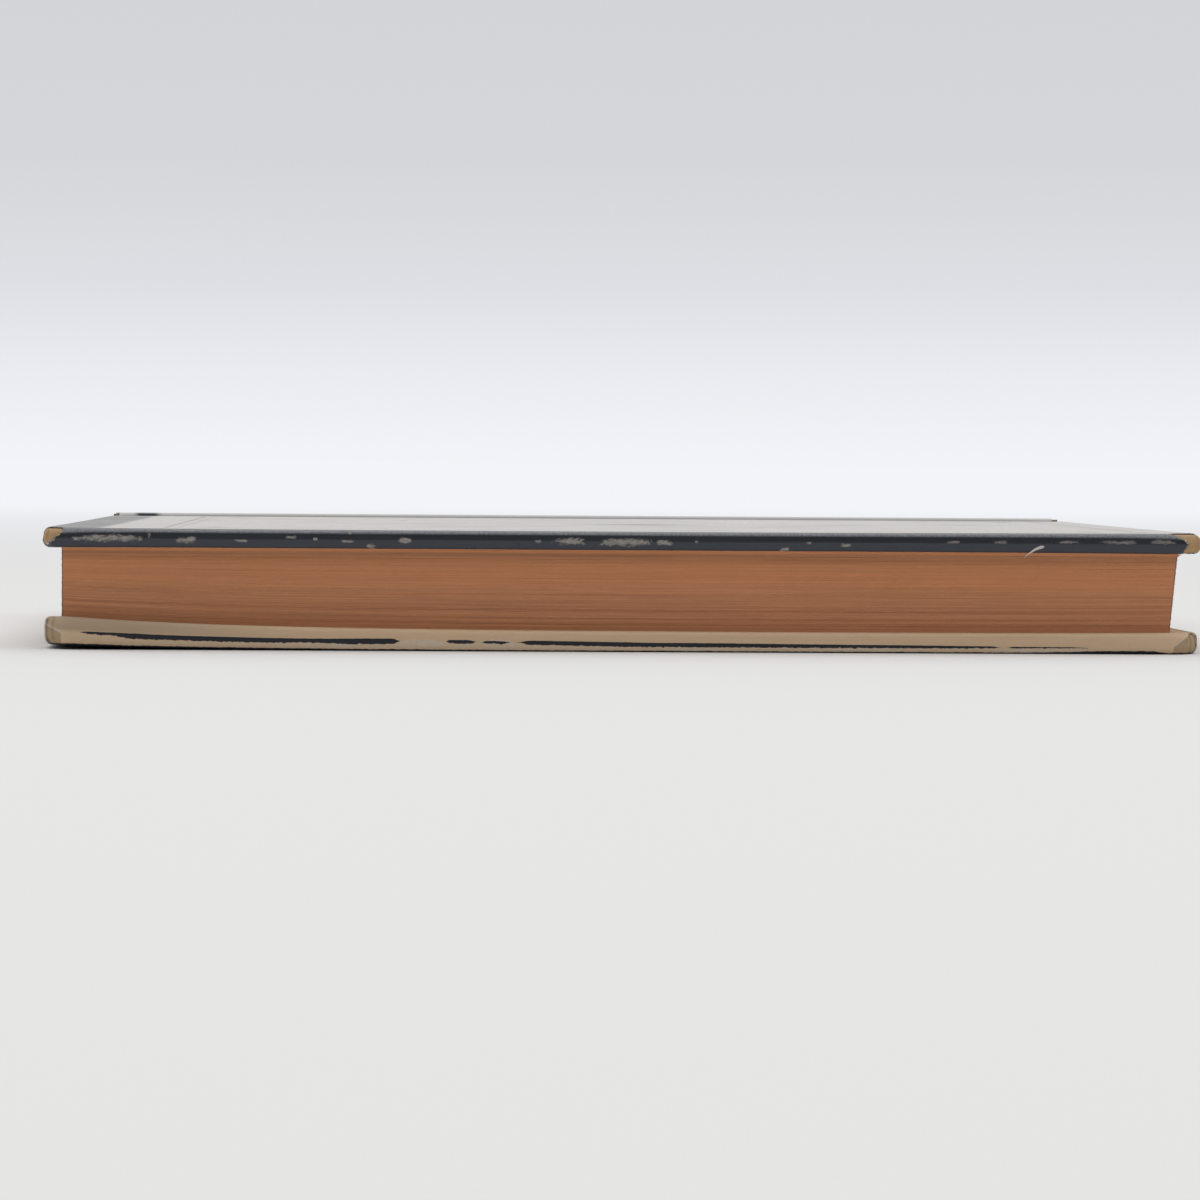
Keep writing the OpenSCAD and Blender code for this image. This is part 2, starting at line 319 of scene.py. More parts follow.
def drop_loose(mesh):
    """Removes the points that no face uses"""
    used = np.zeros(len(mesh.vertices), bool)
    corners = np.zeros(len(mesh.loops), np.int32)
    mesh.loops.foreach_get("vertex_index", corners)
    used[corners] = True
    if used.all():
        return
    edit = bmesh.new()
    edit.from_mesh(mesh)
    edit.verts.ensure_lookup_table()
    loose = [edit.verts[i] for i in np.flatnonzero(~used)]
    bmesh.ops.delete(edit, geom=loose, context="VERTS")
    edit.to_mesh(mesh)
    edit.free()


# Shader trees

# Darkest stain between the leaves, also painted shade at the foot of the pages and the dark along the
# block's vertical corners, and the brown of age spots, as linear colours
STAIN_SHADOW = (0.05, 0.02, 0.01, 1.0)
FOXING_BROWN = (0.25, 0.13, 0.05, 1.0)
# Half the blur of a printed edge, in millimetres
INK_EDGE = 0.06


class Tree:
    """Short calls that add linked nodes to one node tree"""

    def __init__(self, tree):
        self.tree = tree

    def fill(self, socket, value):
        """Links a socket, or sets its constant"""
        if isinstance(value, bpy.types.NodeSocket):
            self.tree.links.new(value, socket)
        elif value is not None:
            socket.default_value = value

    def add(self, kind, *inputs, **settings):
        """A node whose sockets are filled in their order"""
        node = self.tree.nodes.new("ShaderNode" + kind)
        for key, value in settings.items():
            setattr(node, key, value)
        for socket, value in zip(node.inputs, inputs):
            self.fill(socket, value)
        return node

    def math(self, operation, first, second=None, third=None):
        """The result of one sum"""
        return self.add("Math", first, second, third, operation=operation).outputs[0]

    def times(self, first, second):
        """The product of two values"""
        return self.math("MULTIPLY", first, second)

    def rest(self, value):
        """What a share leaves of 1"""
        return self.math("SUBTRACT", 1.0, value)

    def parts(self, place):
        """The parts of a vector, by the letters of their axes"""
        return self.add("SeparateXYZ", place).outputs

    def most(self, values):
        """The largest of several values"""
        result = values[0]
        for value in values[1:]:
            result = self.math("MAXIMUM", result, value)
        return result

    def mix(self, factor, first, second):
        """A colour between two others"""
        node = self.add("Mix", data_type="RGBA")
        for index, value in zip((0, 6, 7), (factor, first, second)):
            self.fill(node.inputs[index], value)
        return node.outputs[2]

    def step(self, value, low, high):
        """Rises smoothly from 0 at low to 1 at high"""
        return self.add("MapRange", value, low, high, 0.0, 1.0,
                        interpolation_type="SMOOTHSTEP").outputs[0]

    def stretch(self, place, scale):
        """A place with each of its parts scaled"""
        return self.add("VectorMath", place, scale, operation="MULTIPLY").outputs[0]

    def noise(self, place, scale, detail=4.0, rough=0.6):
        """Fractal noise around 0.5, with so many bumps to the millimetre"""
        node = self.add("TexNoise")
        for label, value in (("Vector", place), ("Scale", scale), ("Detail", detail),
                             ("Roughness", rough)):
            self.fill(node.inputs[label], value)
        return node.outputs[0]

    def group(self, name, **inputs):
        """The outputs of a shared group; an underscore in a keyword stands for a space"""
        node = self.add("Group", node_tree=bpy.data.node_groups[name])
        for label, value in inputs.items():
            self.fill(node.inputs[label.replace("_", " ").capitalize()], value)
        return node.outputs

    def field(self, name):
        """A value that the mesh keeps on its points"""
        return self.add("Attribute", attribute_name=name).outputs["Fac"]


def new_group(name, inputs, outputs):
    """A shader group with named sockets, as its tree, its inputs and its outputs"""
    tree = bpy.data.node_groups.new(name, "ShaderNodeTree")
    for label, kind, default in inputs:
        socket = tree.interface.new_socket(name=label, in_out="INPUT",
                                           socket_type="NodeSocket" + kind)
        if default is not None:
            socket.default_value = default
    for label in outputs:
        tree.interface.new_socket(name=label, in_out="OUTPUT", socket_type="NodeSocketFloat")
    given = tree.nodes.new("NodeGroupInput").outputs
    result = tree.nodes.new("NodeGroupOutput").inputs
    return Tree(tree), given, result


def make_grain_group():
    """Fibres and cloudy mottling of paper and board"""
    tree, given, result = new_group(
        "paper_grain",
        [("Place", "Vector", None), ("Fibres", "Float", 3.0), ("Clouds", "Float", 0.06)],
        ["Height", "Mottle"])
    tree.fill(result["Height"], tree.noise(given["Place"], given["Fibres"], 6.0, 0.7))
    tree.fill(result["Mottle"], tree.noise(given["Place"], given["Clouds"], 5.0, 0.6))


def make_rub_and_sheen_group():
    """Rubbed ink, and a painted sheen of the light, where the surface turns"""
    tree, given, result = new_group(
        "rubbed_edge",
        [("Place", "Vector", None), ("Turn", "Float", 0.0), ("Speckle", "Float", 0.5)],
        ["Mask"])
    patches = tree.noise(given["Place"], 0.25, 4.0, 0.6)
    reach = tree.times(tree.step(given["Turn"], 0.1, 0.7), tree.step(patches, 0.0, 0.4))
    dots = tree.math("MULTIPLY_ADD", tree.step(given["Speckle"], 0.38, 0.6), 0.6, 0.4)
    tree.fill(result["Mask"], tree.times(reach, dots))


def make_tear_group():
    """Torn core of the paper beside a bare patch, within a ragged width"""
    tree, given, result = new_group(
        "torn_edge",
        [("Place", "Vector", None), ("Distance", "Float", 9.0), ("Width", "Float", 0.7)],
        ["Mask"])
    ragged = tree.math("SUBTRACT", tree.noise(given["Place"], 2.2, 8.0, 0.75), 0.5)
    near = tree.math("MULTIPLY_ADD", ragged, 2.8, given["Distance"])
    share = tree.math("DIVIDE", near, given["Width"])
    tree.fill(result["Mask"], tree.rest(tree.step(share, 0.7, 1.1)))


def make_scuff_group():
    """One ragged scuff on an edge, round a centre along the book and in height"""
    tree, given, result = new_group(
        "scuff",
        [("Place", "Vector", None), ("Ragged", "Float", 0.5), ("Centre x", "Float", 0.0),
         ("Half length", "Float", 1.0), ("Centre z", "Float", 0.0), ("Half height", "Float", 0.3)],
        ["Mask"])
    place = tree.parts(given["Place"])
    shares = []
    sockets = (("X", "Centre x", "Half length"), ("Z", "Centre z", "Half height"))
    for axis, centre, half in sockets:
        offset = tree.math("ABSOLUTE", tree.math("SUBTRACT", place[axis], given[centre]))
        shares.append(tree.math("DIVIDE", offset, given[half]))
    corner = tree.math("SQRT", tree.math("ADD", tree.math("POWER", shares[0], 4.0),
                                         tree.math("POWER", shares[1], 2.0)))
    inside = tree.rest(corner)
    cut = tree.math("MULTIPLY_ADD", given["Ragged"], 4.5, tree.math("SUBTRACT", inside, 2.45))
    tree.fill(result["Mask"], tree.step(cut, -0.2, 0.5))


def make_foxing_group():
    """Brown age spots and a cloudy toning"""
    tree, given, result = new_group(
        "foxing",
        [("Place", "Vector", None), ("Spacing", "Float", 0.12), ("Amount", "Float", 0.5)],
        ["Spots", "Toning"])
    wander = tree.add("VectorMath", given["Place"], tree.add(
        "VectorMath", tree.add("TexNoise", given["Place"]).outputs[1], (6.0, 6.0, 6.0),
        operation="MULTIPLY").outputs[0], operation="ADD").outputs[0]
    cells = tree.add("TexVoronoi")
    tree.fill(cells.inputs["Vector"], wander)
    tree.fill(cells.inputs["Scale"], given["Spacing"])
    limit = tree.times(given["Amount"], 0.24)
    spots = tree.rest(tree.step(cells.outputs["Distance"], 0.02, limit))
    tree.fill(result["Spots"], tree.times(spots, tree.noise(given["Place"], 0.3)))
    tree.fill(result["Toning"], tree.noise(given["Place"], 0.025, 3.0, 0.5))


def make_layer_group():
    """Fine wandering layers seen on the cut edges of leaves and of pulp board"""
    tree, given, result = new_group(
        "cut_layers",
        [("Place", "Vector", None), ("Pitch", "Float", 0.06), ("Run", "Float", 40.0)],
        ["Shade", "Height"])
    run = tree.math("DIVIDE", 1.0, given["Run"])
    rise = tree.math("DIVIDE", 1.0, given["Pitch"])
    scale = tree.add("CombineXYZ", run, run, rise).outputs[0]
    layered = tree.stretch(given["Place"], scale)
    tree.fill(result["Height"], tree.noise(layered, 0.35, 2.0, 0.6))
    tree.fill(result["Shade"], tree.noise(tree.stretch(layered, (1.6, 1.6, 0.3)), 0.35, 4.0, 0.65))


def shape_group(name, half_x, half_y):
    """A shader group for a printed shape round a centre"""
    return new_group(
        name,
        [("Place", "Vector", None), ("Centre x", "Float", 0.0), ("Centre y", "Float", 0.0),
         ("Half x", "Float", half_x), ("Half y", "Float", half_y), ("Width", "Float", 0.6)],
        ["Line", "Inside"])


def from_centre(tree, given, operation):
    """A point's distances from the centre in x and y, less the half sizes or divided by them"""
    place = tree.parts(given["Place"])
    values = []
    for axis, centre, half in (("X", "Centre x", "Half x"), ("Y", "Centre y", "Half y")):
        offset = tree.math("ABSOLUTE", tree.math("SUBTRACT", place[axis], given[centre]))
        values.append(tree.math(operation, offset, given[half]))
    return values


def draw_shape(tree, given, result, outside):
    """Ends a group with a line along a shape's outline and with its inside"""
    half_width = tree.times(given["Width"], 0.5)
    off_line = tree.math("SUBTRACT", tree.math("ABSOLUTE", outside), half_width)
    for label, distance in (("Line", off_line), ("Inside", outside)):
        tree.fill(result[label], tree.rest(tree.step(distance, -INK_EDGE, INK_EDGE)))


def make_fillet_group():
    """A printed rectangular line round the middle of a cover"""
    tree, given, result = shape_group("fillet", 50.0, 30.0)
    draw_shape(tree, given, result, tree.most(from_centre(tree, given, "SUBTRACT")))


def make_lozenge_group():
    """A printed lozenge, solid or as a line"""
    tree, given, result = shape_group("lozenge", 5.0, 5.0)
    share = tree.math("ADD", *from_centre(tree, given, "DIVIDE"))
    outside = tree.times(tree.math("SUBTRACT", share, 1.0), given["Half y"])
    draw_shape(tree, given, result, outside)


def make_groups():
    """Builds the shared shader groups once"""
    for build in (make_grain_group, make_rub_and_sheen_group, make_tear_group, make_scuff_group,
                  make_foxing_group, make_layer_group, make_fillet_group, make_lozenge_group):
        build()


def new_material(name, flat_place=True):
    """An empty material, as itself, its tree and the place of a shaded point in millimetres"""
    material = bpy.data.materials.new(name)
    material.use_nodes = True
    material.node_tree.nodes.clear()
    tree = Tree(material.node_tree)
    if flat_place:
        place = tree.add("Attribute", attribute_name="place").outputs["Vector"]
    else:
        place = tree.stretch(tree.add("TexCoord").outputs["Object"], (1000.0, 1000.0, 1000.0))
    return material, tree, place


def surface(tree, base, roughness, height, depth, **constants):
    """Ends a material in one shader; height is bumped by depth, in millimetres"""
    bump = tree.add("Bump")
    tree.fill(bump.inputs["Height"], height)
    bump.inputs["Distance"].default_value = depth * MM
    shader = tree.add("BsdfPrincipled")
    tree.fill(shader.inputs["Base Color"], base)
    tree.fill(shader.inputs["Roughness"], roughness)
    tree.fill(shader.inputs["Normal"], bump.outputs[0])
    for label, value in constants.items():
        shader.inputs[label.replace("_", " ")].default_value = value
    tree.add("OutputMaterial", shader.outputs[0])


def ink(tree, place, print_colour, marks=(), floor_reflection_band=None):
    """Printed paper with rubbed ink and a painted sheen at its arrises, a painted reflection of the
    floor low on its edge where asked, scuffed at the marks and torn beside bare patches
    """
    grain = tree.group("paper_grain", place=place, fibres=2.5, clouds=0.05)
    parts = tree.parts(place)
    fading = tree.step(grain["Mottle"], 0.42, 0.75)
    base = tree.mix(tree.times(fading, 0.15), print_colour, shade("slate"))
    if floor_reflection_band:
        # Painted reflection of the floor: the lower part of the cover's edge turns to slate
        low, high = floor_reflection_band
        wobble = tree.math("MULTIPLY_ADD", grain["Mottle"], 0.4, parts["Z"])
        floor_reflection = tree.rest(tree.step(wobble, low + 0.2, high + 0.2))
        base = tree.mix(tree.times(floor_reflection, 0.85), base, shade("slate"))
    speckle = tree.noise(tree.stretch(place, (0.6, 1.0, 1.0)), 5.0, 8.0, 0.8)
    # Rubbed ink and painted sheen along the arrises
    rub_and_sheen = tree.group("rubbed_edge", place=place, turn=tree.field("turn"), speckle=speckle)["Mask"]
    base = tree.mix(rub_and_sheen, base, shade("sheen"))
    worn = tree.group("torn_edge", place=place, distance=tree.field("bare"), width=0.4)["Mask"]
    base = tree.mix(worn, base, shade("torn_paper"))
    if marks:
        face_start, face_end = FORE_Y + 1.2, FORE_Y + 2.2
        dim_start, dim_end, dimming = 45.0, 55.0, 0.4
        flakes = tree.noise(tree.stretch(place, (0.5, 1.0, 1.0)), 2.6, 9.0, 0.78)
        patches = tree.noise(tree.stretch(place, (0.4, 1.0, 1.0)), 0.9, 3.0, 0.6)
        ragged = tree.math("MULTIPLY_ADD", flakes, 0.62, tree.times(patches, 0.38))
        scuffs = tree.most([
            tree.group("scuff", place=place, ragged=ragged, centre_x=x, half_length=half_x,
                       centre_z=z, half_height=half_z)["Mask"]
            for x, half_x, z, half_z in marks])
        scuffs = tree.times(scuffs, tree.rest(tree.step(parts["Y"], face_start, face_end)))
        dimmer = tree.step(parts["X"], dim_start, dim_end)
        scuffs = tree.times(scuffs, tree.math("MULTIPLY_ADD", dimmer, -dimming, 1.0))
        worn = tree.math("MAXIMUM", worn, scuffs)
        dusty = tree.mix(0.45, shade("scuff"), shade("slate"))
        pale = tree.mix(tree.step(flakes, 0.42, 0.66), dusty, shade("scuff"))
        base = tree.mix(scuffs, base, pale)
    return base, grain, worn


# Scuffs on the front cover's fore-edge: middle along the book and its half length,
# height above the table and its half height, all in millimetres
FRONT_SCUFFS = [
    (-87.7, 6.0, 18.5, 0.7), (-80.5, 0.3, 19.2, 0.5), (-74.3, 1.8, 18.4, 0.55),
    (-65.2, 1.2, 18.3, 0.3), (-56.8, 1.1, 18.9, 0.3), (-52.7, 0.4, 18.6, 0.3),
    (-47.3, 1.2, 18.3, 0.3), (-46.9, 0.3, 19.8, 0.4), (-43.3, 0.8, 17.4, 0.6),
    (-37.6, 1.2, 18.5, 0.55), (-15.2, 0.6, 18.5, 0.3), (-9.6, 3.2, 18.5, 0.65),
    (-0.3, 4.6, 18.4, 0.7), (6.1, 1.6, 18.4, 0.55), (11.7, 0.4, 18.6, 0.3),
    (26.6, 0.9, 17.3, 0.4), (30.7, 0.6, 18.5, 0.35), (37.0, 1.1, 18.1, 0.45),
    (55.4, 1.4, 18.7, 0.3), (63.3, 1.4, 18.7, 0.3), (75.2, 2.4, 18.8, 0.28),
    (84.0, 3.2, 18.8, 0.35), (91.5, 2.6, 18.9, 0.4),
]


def printed_surface(tree, base, grain, worn):
    """Ends a material of printed, slightly glossy paper that is dull where it is worn"""
    height = tree.math("MULTIPLY_ADD", worn, -1.0, grain["Height"])
    gloss = tree.math("MULTIPLY_ADD", worn, 0.4,
                      tree.math("MULTIPLY_ADD", grain["Mottle"], 0.2, 0.2))
    surface(tree, base, gloss, height, 0.035, Specular_IOR_Level=0.3)


def front_print():
    """Navy paper with a pale panel, thin double fillets and a lozenge ornament"""
    material, tree, place = new_material("front_print")
    navy, field, motif = shade("navy"), shade("field"), shade("motif")
    tail_border, head_border, fore_border, joint_border = 13.0, 1.3, 1.0, 2.5
    panel_x = (FRONT_LOW[0] + tail_border, FRONT_HIGH[0] - head_border)
    panel_y = (FRONT_LOW[1] + fore_border, JOINT_Y - joint_border)
    middle_x, middle_y = sum(panel_x) / 2, sum(panel_y) / 2
    half_x, half_y = panel_x[1] - middle_x, panel_y[1] - middle_y
    panel = dict(place=place, centre_x=middle_x, centre_y=middle_y)
    parts = tree.parts(place)
    on_top = tree.step(parts["Z"], FRONT_HIGH[2] - 0.3, FRONT_HIGH[2] - 0.1)
    ground = tree.group("fillet", half_x=half_x + 20, half_y=half_y, **panel)["Inside"]
    faint = tree.step(tree.math("MULTIPLY_ADD", tree.noise(place, 0.12), 2.5, parts["X"]),
                      panel_x[0] - 3.2, panel_x[0] - 0.8)
    head = tree.rest(tree.step(parts["X"], panel_x[1] - 0.2, panel_x[1] + 0.2))
    ground = tree.times(ground, tree.times(faint, head))
    inner = dict(half_x=42.5, half_y=28.6, **panel)
    lines = [tree.group("fillet", half_x=half_x - inset, half_y=half_y - inset, width=width,
                        **panel)["Line"] for inset, width in ((7.0, 0.9), (9.0, 0.35))]
    lines += [tree.group("lozenge", half_x=46.0, half_y=31.0, width=0.8, **panel)["Line"],
              tree.group("lozenge", width=0.35, **inner)["Line"],
              tree.group("lozenge", half_x=13.0, half_y=9.0, **panel)["Inside"]]
    corner_inset = 15.0
    for side_x in (-1, 1):
        for side_y in (-1, 1):
            lines.append(tree.group("lozenge", place=place, half_x=3.4, half_y=3.4,
                                    centre_x=middle_x + side_x * (half_x - corner_inset),
                                    centre_y=middle_y + side_y * (half_y - corner_inset))["Inside"])
    weave = []
    for sign in (1.0, -1.0):
        slant = tree.math("MULTIPLY_ADD", parts["Y"], sign * 1.5, parts["X"])
        strand = tree.math("PINGPONG", slant, 6.0)
        weave.append(tree.rest(tree.step(strand, 0.18, 0.32)))
    diaper = tree.times(tree.most(weave), tree.group("lozenge", **inner)["Inside"])
    pale = tree.mix(diaper, field, motif)
    streaks = tree.noise(tree.stretch(place, (0.012, 0.5, 1.0)), 1.0, 5.0, 0.6)
    pale = tree.mix(tree.times(tree.step(streaks, 0.45, 0.7), 0.3), pale, motif)
    soft_line = tree.mix(0.15, motif, navy)
    printed = tree.mix(tree.most(lines), pale, soft_line)
    # On the top face the navy is lightened towards the field: a worn print and a painted sheen of light
    # grazing the top
    border = tree.mix(0.4, navy, field)
    top_fade_and_sheen = tree.mix(tree.times(on_top, 0.8), navy, border)
    mask = tree.times(ground, on_top)
    # Heights between which the edge turns from navy to the painted floor reflection
    floor_reflection_band = (FRONT_HIGH[2] - 1.85, FRONT_HIGH[2] - 1.45)
    base, grain, worn = ink(tree, place, tree.mix(mask, top_fade_and_sheen, printed), FRONT_SCUFFS, floor_reflection_band)
    printed_surface(tree, base, grain, worn)
    return material


# What is left of the ink on the spine's front ridge: from and to along the book, in millimetres
RIDGE_FLAKES = [(-94.3, -88.0)]


def spine_print():
    """Navy paper with pale fillets near head and tail, pale on its front ridge: rubbed paper and a
    painted sheen
    """
    material, tree, place = new_material("spine_print")
    parts = tree.parts(place)
    along = tree.math("ABSOLUTE", parts["X"])
    lines = []
    for reach, half in ((86.0, 0.5), (83.6, 0.2), (62.0, 0.2), (59.6, 0.5)):
        off = tree.math("ABSOLUTE", tree.math("SUBTRACT", along, reach))
        lines.append(tree.rest(tree.step(off, half - 0.05, half + 0.05)))
    below = tree.rest(tree.step(parts["Z"], SPINE_HIGH[2] - 1.2, SPINE_HIGH[2] - 1.0))
    lines = tree.times(tree.most(lines), below)
    print_colour = tree.mix(lines, shade("navy"), shade("motif"))
    base, grain, worn = ink(tree, place, print_colour)
    ragged = tree.noise(tree.stretch(place, (0.35, 1.0, 1.0)), 1.4, 8.0, 0.7)
    behind = tree.step(parts["Y"], INLAY_LOW[1] + 0.2, INLAY_LOW[1] + 0.7)
    high = tree.math("MULTIPLY_ADD", ragged, 1.0,
                     tree.math("MULTIPLY_ADD", behind, -0.6, parts["Z"]))
    ridge = tree.step(high, SPINE_HIGH[2] - 0.75, SPINE_HIGH[2] - 0.3)
    flakes = []
    for start, end in RIDGE_FLAKES:
        wander = tree.math("MULTIPLY_ADD", ragged, 2.5, tree.math("SUBTRACT", parts["X"], 1.2))
        inside = tree.times(tree.step(wander, start, start + 1.5),
                            tree.rest(tree.step(wander, end - 2.0, end)))
        flakes.append(inside)
    ridge = tree.times(ridge, tree.rest(tree.most(flakes)))
    # Pale ridge: rubbed paper and a painted sheen
    base = tree.mix(ridge, base, shade("ridge_rub_and_sheen"))
    printed_surface(tree, base, grain, tree.math("MAXIMUM", worn, ridge))
    return material


# The dark stripe left on the back cover's fore-edge: place along the book in millimetres,
# with the heights of its upper and its lower limit above the flat underside
BACK_STRIPE = [
    (-92.5, 1.5, 1.5), (-91.0, 1.62, 1.3), (-86.0, 1.65, 1.2), (-83.6, 1.65, 0.95),
    (-77.0, 1.6, 0.95), (-60.0, 1.6, 0.9), (-56.0, 1.6, 1.0), (-50.0, 1.65, 0.95),
    (-47.0, 1.7, 0.85), (-39.3, 1.8, 0.95), (-38.7, 1.4, 1.4), (-30.7, 1.4, 1.4),
    (-30.2, 1.7, 1.2), (-26.4, 1.7, 1.1), (-25.6, 1.4, 1.4), (-24.6, 1.4, 1.4),
    (-24.1, 1.6, 1.1), (-20.4, 1.55, 1.15), (-19.8, 1.4, 1.4), (-18.0, 1.4, 1.4),
    (-17.2, 1.7, 1.0), (-11.0, 1.65, 0.95), (1.0, 1.55, 0.8), (2.5, 1.5, 0.8),
    (15.0, 1.5, 0.8), (30.0, 1.4, 0.8), (50.0, 1.3, 0.8), (62.8, 1.2, 0.85),
    (63.4, 0.95, 0.95), (65.0, 0.95, 0.95), (65.5, 1.15, 0.85), (76.5, 1.1, 0.9),
    (79.5, 0.95, 0.95),
]

# White torn paper on the same edge: middle and half length, height and half height
BACK_TEARS = [(-34.7, 4.6, 1.25, 0.45), (-21.8, 3.4, 1.35, 0.5), (-48.0, 2.5, 0.6, 0.25),
              (12.0, 6.0, 0.55, 0.2), (40.0, 8.0, 0.5, 0.2), (70.0, 9.0, 0.55, 0.22)]


def curve_of(tree, share, heights, span):
    """A value drawn as a curve over a share from 0 to 1; heights are (share, value) pairs"""
    node = tree.add("FloatCurve")
    curve = node.mapping.curves[0]
    while len(curve.points) > 2:
        curve.points.remove(curve.points[1])
    for point, (at, value) in zip(curve.points, (heights[0], heights[-1])):
        point.location = (at, value / span)
    for at, value in heights[1:-1]:
        curve.points.new(at, value / span)
    for point in curve.points:
        point.handle_type = "VECTOR"
    node.mapping.update()
    tree.fill(node.inputs["Value"], share)
    return tree.times(node.outputs[0], span)


def corner_folds(tree, parts, paper):
    """Folded paper at both fore-edge corners: a facet darkened with painted shade below a paler
    slanting fold
    """
    # Painted shade on the folded corner facets
    soil_and_shade = tree.mix(0.45, shade("pulp"), shade("slate"))
    folds = ((1.0, 93.4, 1.2, 0.6), (-1.0, 95.3, 1.4, 0.3))
    for side, start, height, slope in folds:
        along = tree.times(parts["X"], side)
        line = tree.math("MULTIPLY_ADD", tree.math("SUBTRACT", along, start), slope, height)
        below = tree.math("SUBTRACT", line, parts["Z"])
        beyond = tree.step(along, start - 0.1, start + 0.1)
        facet = tree.times(tree.step(below, 0.0, 0.08), beyond)
        fold = tree.rest(tree.step(tree.math("ABSOLUTE", below), 0.05, 0.2))
        paper = tree.mix(tree.times(facet, 0.6), paper, soil_and_shade)
        paper = tree.mix(tree.times(tree.times(fold, beyond), 0.5), paper, shade("torn_paper"))
    return paper


def back_print():
    """Navy paper worn down to bare paper along the fore-edge, with one ragged dark stripe left"""
    material, tree, place = new_material("back_print")
    base, grain, worn = ink(tree, place, shade("navy"))
    parts = tree.parts(place)
    reach = BACK_HIGH[0] - BACK_LOW[0]
    share = tree.math("DIVIDE", tree.math("SUBTRACT", parts["X"], BACK_LOW[0]), reach)
    span = BACK_HIGH_FLAT
    shares = [((x - BACK_LOW[0]) / reach, high, low) for x, high, low in BACK_STRIPE]
    upper = curve_of(tree, share, [(at, high) for at, high, _ in shares], span)
    lower = curve_of(tree, share, [(at, low) for at, _, low in shares], span)
    ragged = tree.math("SUBTRACT", tree.noise(place, 1.1, 8.0, 0.7), 0.5)
    fine = tree.math("SUBTRACT", tree.noise(tree.stretch(place, (0.5, 1.0, 1.0)), 2.2, 6.0, 0.7), 0.5)
    over = tree.math("MULTIPLY_ADD", fine, 0.15, tree.math("SUBTRACT", upper, parts["Z"]))
    under = tree.math("MULTIPLY_ADD", ragged, 0.7, tree.math("SUBTRACT", parts["Z"], lower))
    stripe = tree.times(tree.step(over, 0.0, 0.06), tree.step(under, 0.0, 0.06))
    thick_sole = tree.times(tree.step(parts["X"], 68.0, 84.0),
                            tree.rest(tree.step(parts["X"], 89.0, 93.0)))
    sole_top = tree.math("MULTIPLY_ADD", thick_sole, 0.3, 0.17)
    sole = tree.math("MULTIPLY_ADD", ragged, -0.35, tree.math("SUBTRACT", parts["Z"], sole_top))
    bare = tree.times(tree.step(sole, 0.0, 0.08), tree.rest(stripe))
    from_fore = tree.math("SUBTRACT", parts["Y"], BACK_LOW[1])
    from_end = tree.math("SUBTRACT", BACK_HIGH[0], tree.math("ABSOLUTE", parts["X"]))
    side = tree.times(tree.rest(tree.step(from_end, 0.3, 0.7)),
                      tree.rest(tree.step(from_fore, 14.0, 22.0)))
    near = tree.math("MAXIMUM", side, tree.rest(tree.step(from_fore, 2.4, 3.4)))
    inside = tree.step(parts["Z"], span - 0.45, span - 0.3)
    bare = tree.math("MAXIMUM", tree.times(bare, near), inside)
    below = tree.math("MULTIPLY_ADD", fine, 0.35, tree.math("SUBTRACT", upper, parts["Z"]))
    tone = tree.step(tree.noise(tree.stretch(place, (0.1, 1.0, 1.0)), 0.7, 6.0, 0.65), 0.3, 0.75)
    soil_and_shade = tree.mix(0.45, shade("bare_paper"), shade("pulp"))
    paper = tree.mix(tree.times(tone, 0.5), shade("bare_paper"), soil_and_shade)
    # Painted shade on the upper part of the fore-edge towards the tail, under the pages
    tail_part = tree.rest(tree.step(parts["X"], -90.0, -50.0))
    painted_tail_shade = tree.mix(0.45, paper, shade("slate"))
    above = tree.math("MULTIPLY_ADD", tree.step(parts["Z"], 1.3, 1.9), 0.7, 0.1)
    paper = tree.mix(tree.times(tail_part, above), paper, painted_tail_shade)
    torn = tree.times(tree.step(below, -0.1, 0.15), tree.step(fine, -0.2, 0.2))
    ridden = tree.rest(tree.times(tail_part, 0.8))
    paper = tree.mix(tree.times(tree.times(torn, ridden), 0.5), paper, shade("torn_paper"))
    tears = tree.most([tree.group("scuff", place=place, ragged=tree.noise(place, 1.6, 6.0, 0.7),
                                  centre_x=x, half_length=half_x, centre_z=z,
                                  half_height=half_z)["Mask"] for x, half_x, z, half_z in BACK_TEARS])
    torn_colour = tree.mix(0.35, shade("torn_paper"), shade("bare_paper"))
    paper = tree.mix(tree.times(tears, near), paper, torn_colour)
    paper = corner_folds(tree, parts, paper)
    base = tree.mix(bare, base, paper)
    gloss = tree.math("MULTIPLY_ADD", tree.math("MAXIMUM", bare, worn), 0.45, 0.35)
    steps = tree.math("MULTIPLY_ADD", bare, -1.4, grain["Height"])
    surface(tree, base, gloss, steps, 0.06, Specular_IOR_Level=0.3)
    return material


def pulp_board():
    """Raw pulp board, fibrous and split into layers at its edges"""
    material, tree, place = new_material("pulp_board")
    layers = tree.group("cut_layers", place=place, pitch=0.3, run=6.0)
    grain = tree.group("paper_grain", place=place, fibres=3.5, clouds=0.5)
    dark = tree.mix(0.6, shade("pulp"), shade("navy"))
    base = tree.mix(tree.times(tree.step(grain["Mottle"], 0.52, 0.8), 0.7), shade("pulp"), dark)
    pale = tree.mix(0.5, shade("pulp"), shade("torn_paper"))
    base = tree.mix(tree.times(tree.step(layers["Shade"], 0.45, 0.75), 0.6), base, pale)
    height = tree.math("ADD", layers["Height"], grain["Height"])
    surface(tree, base, 0.9, height, 0.25)
    return material


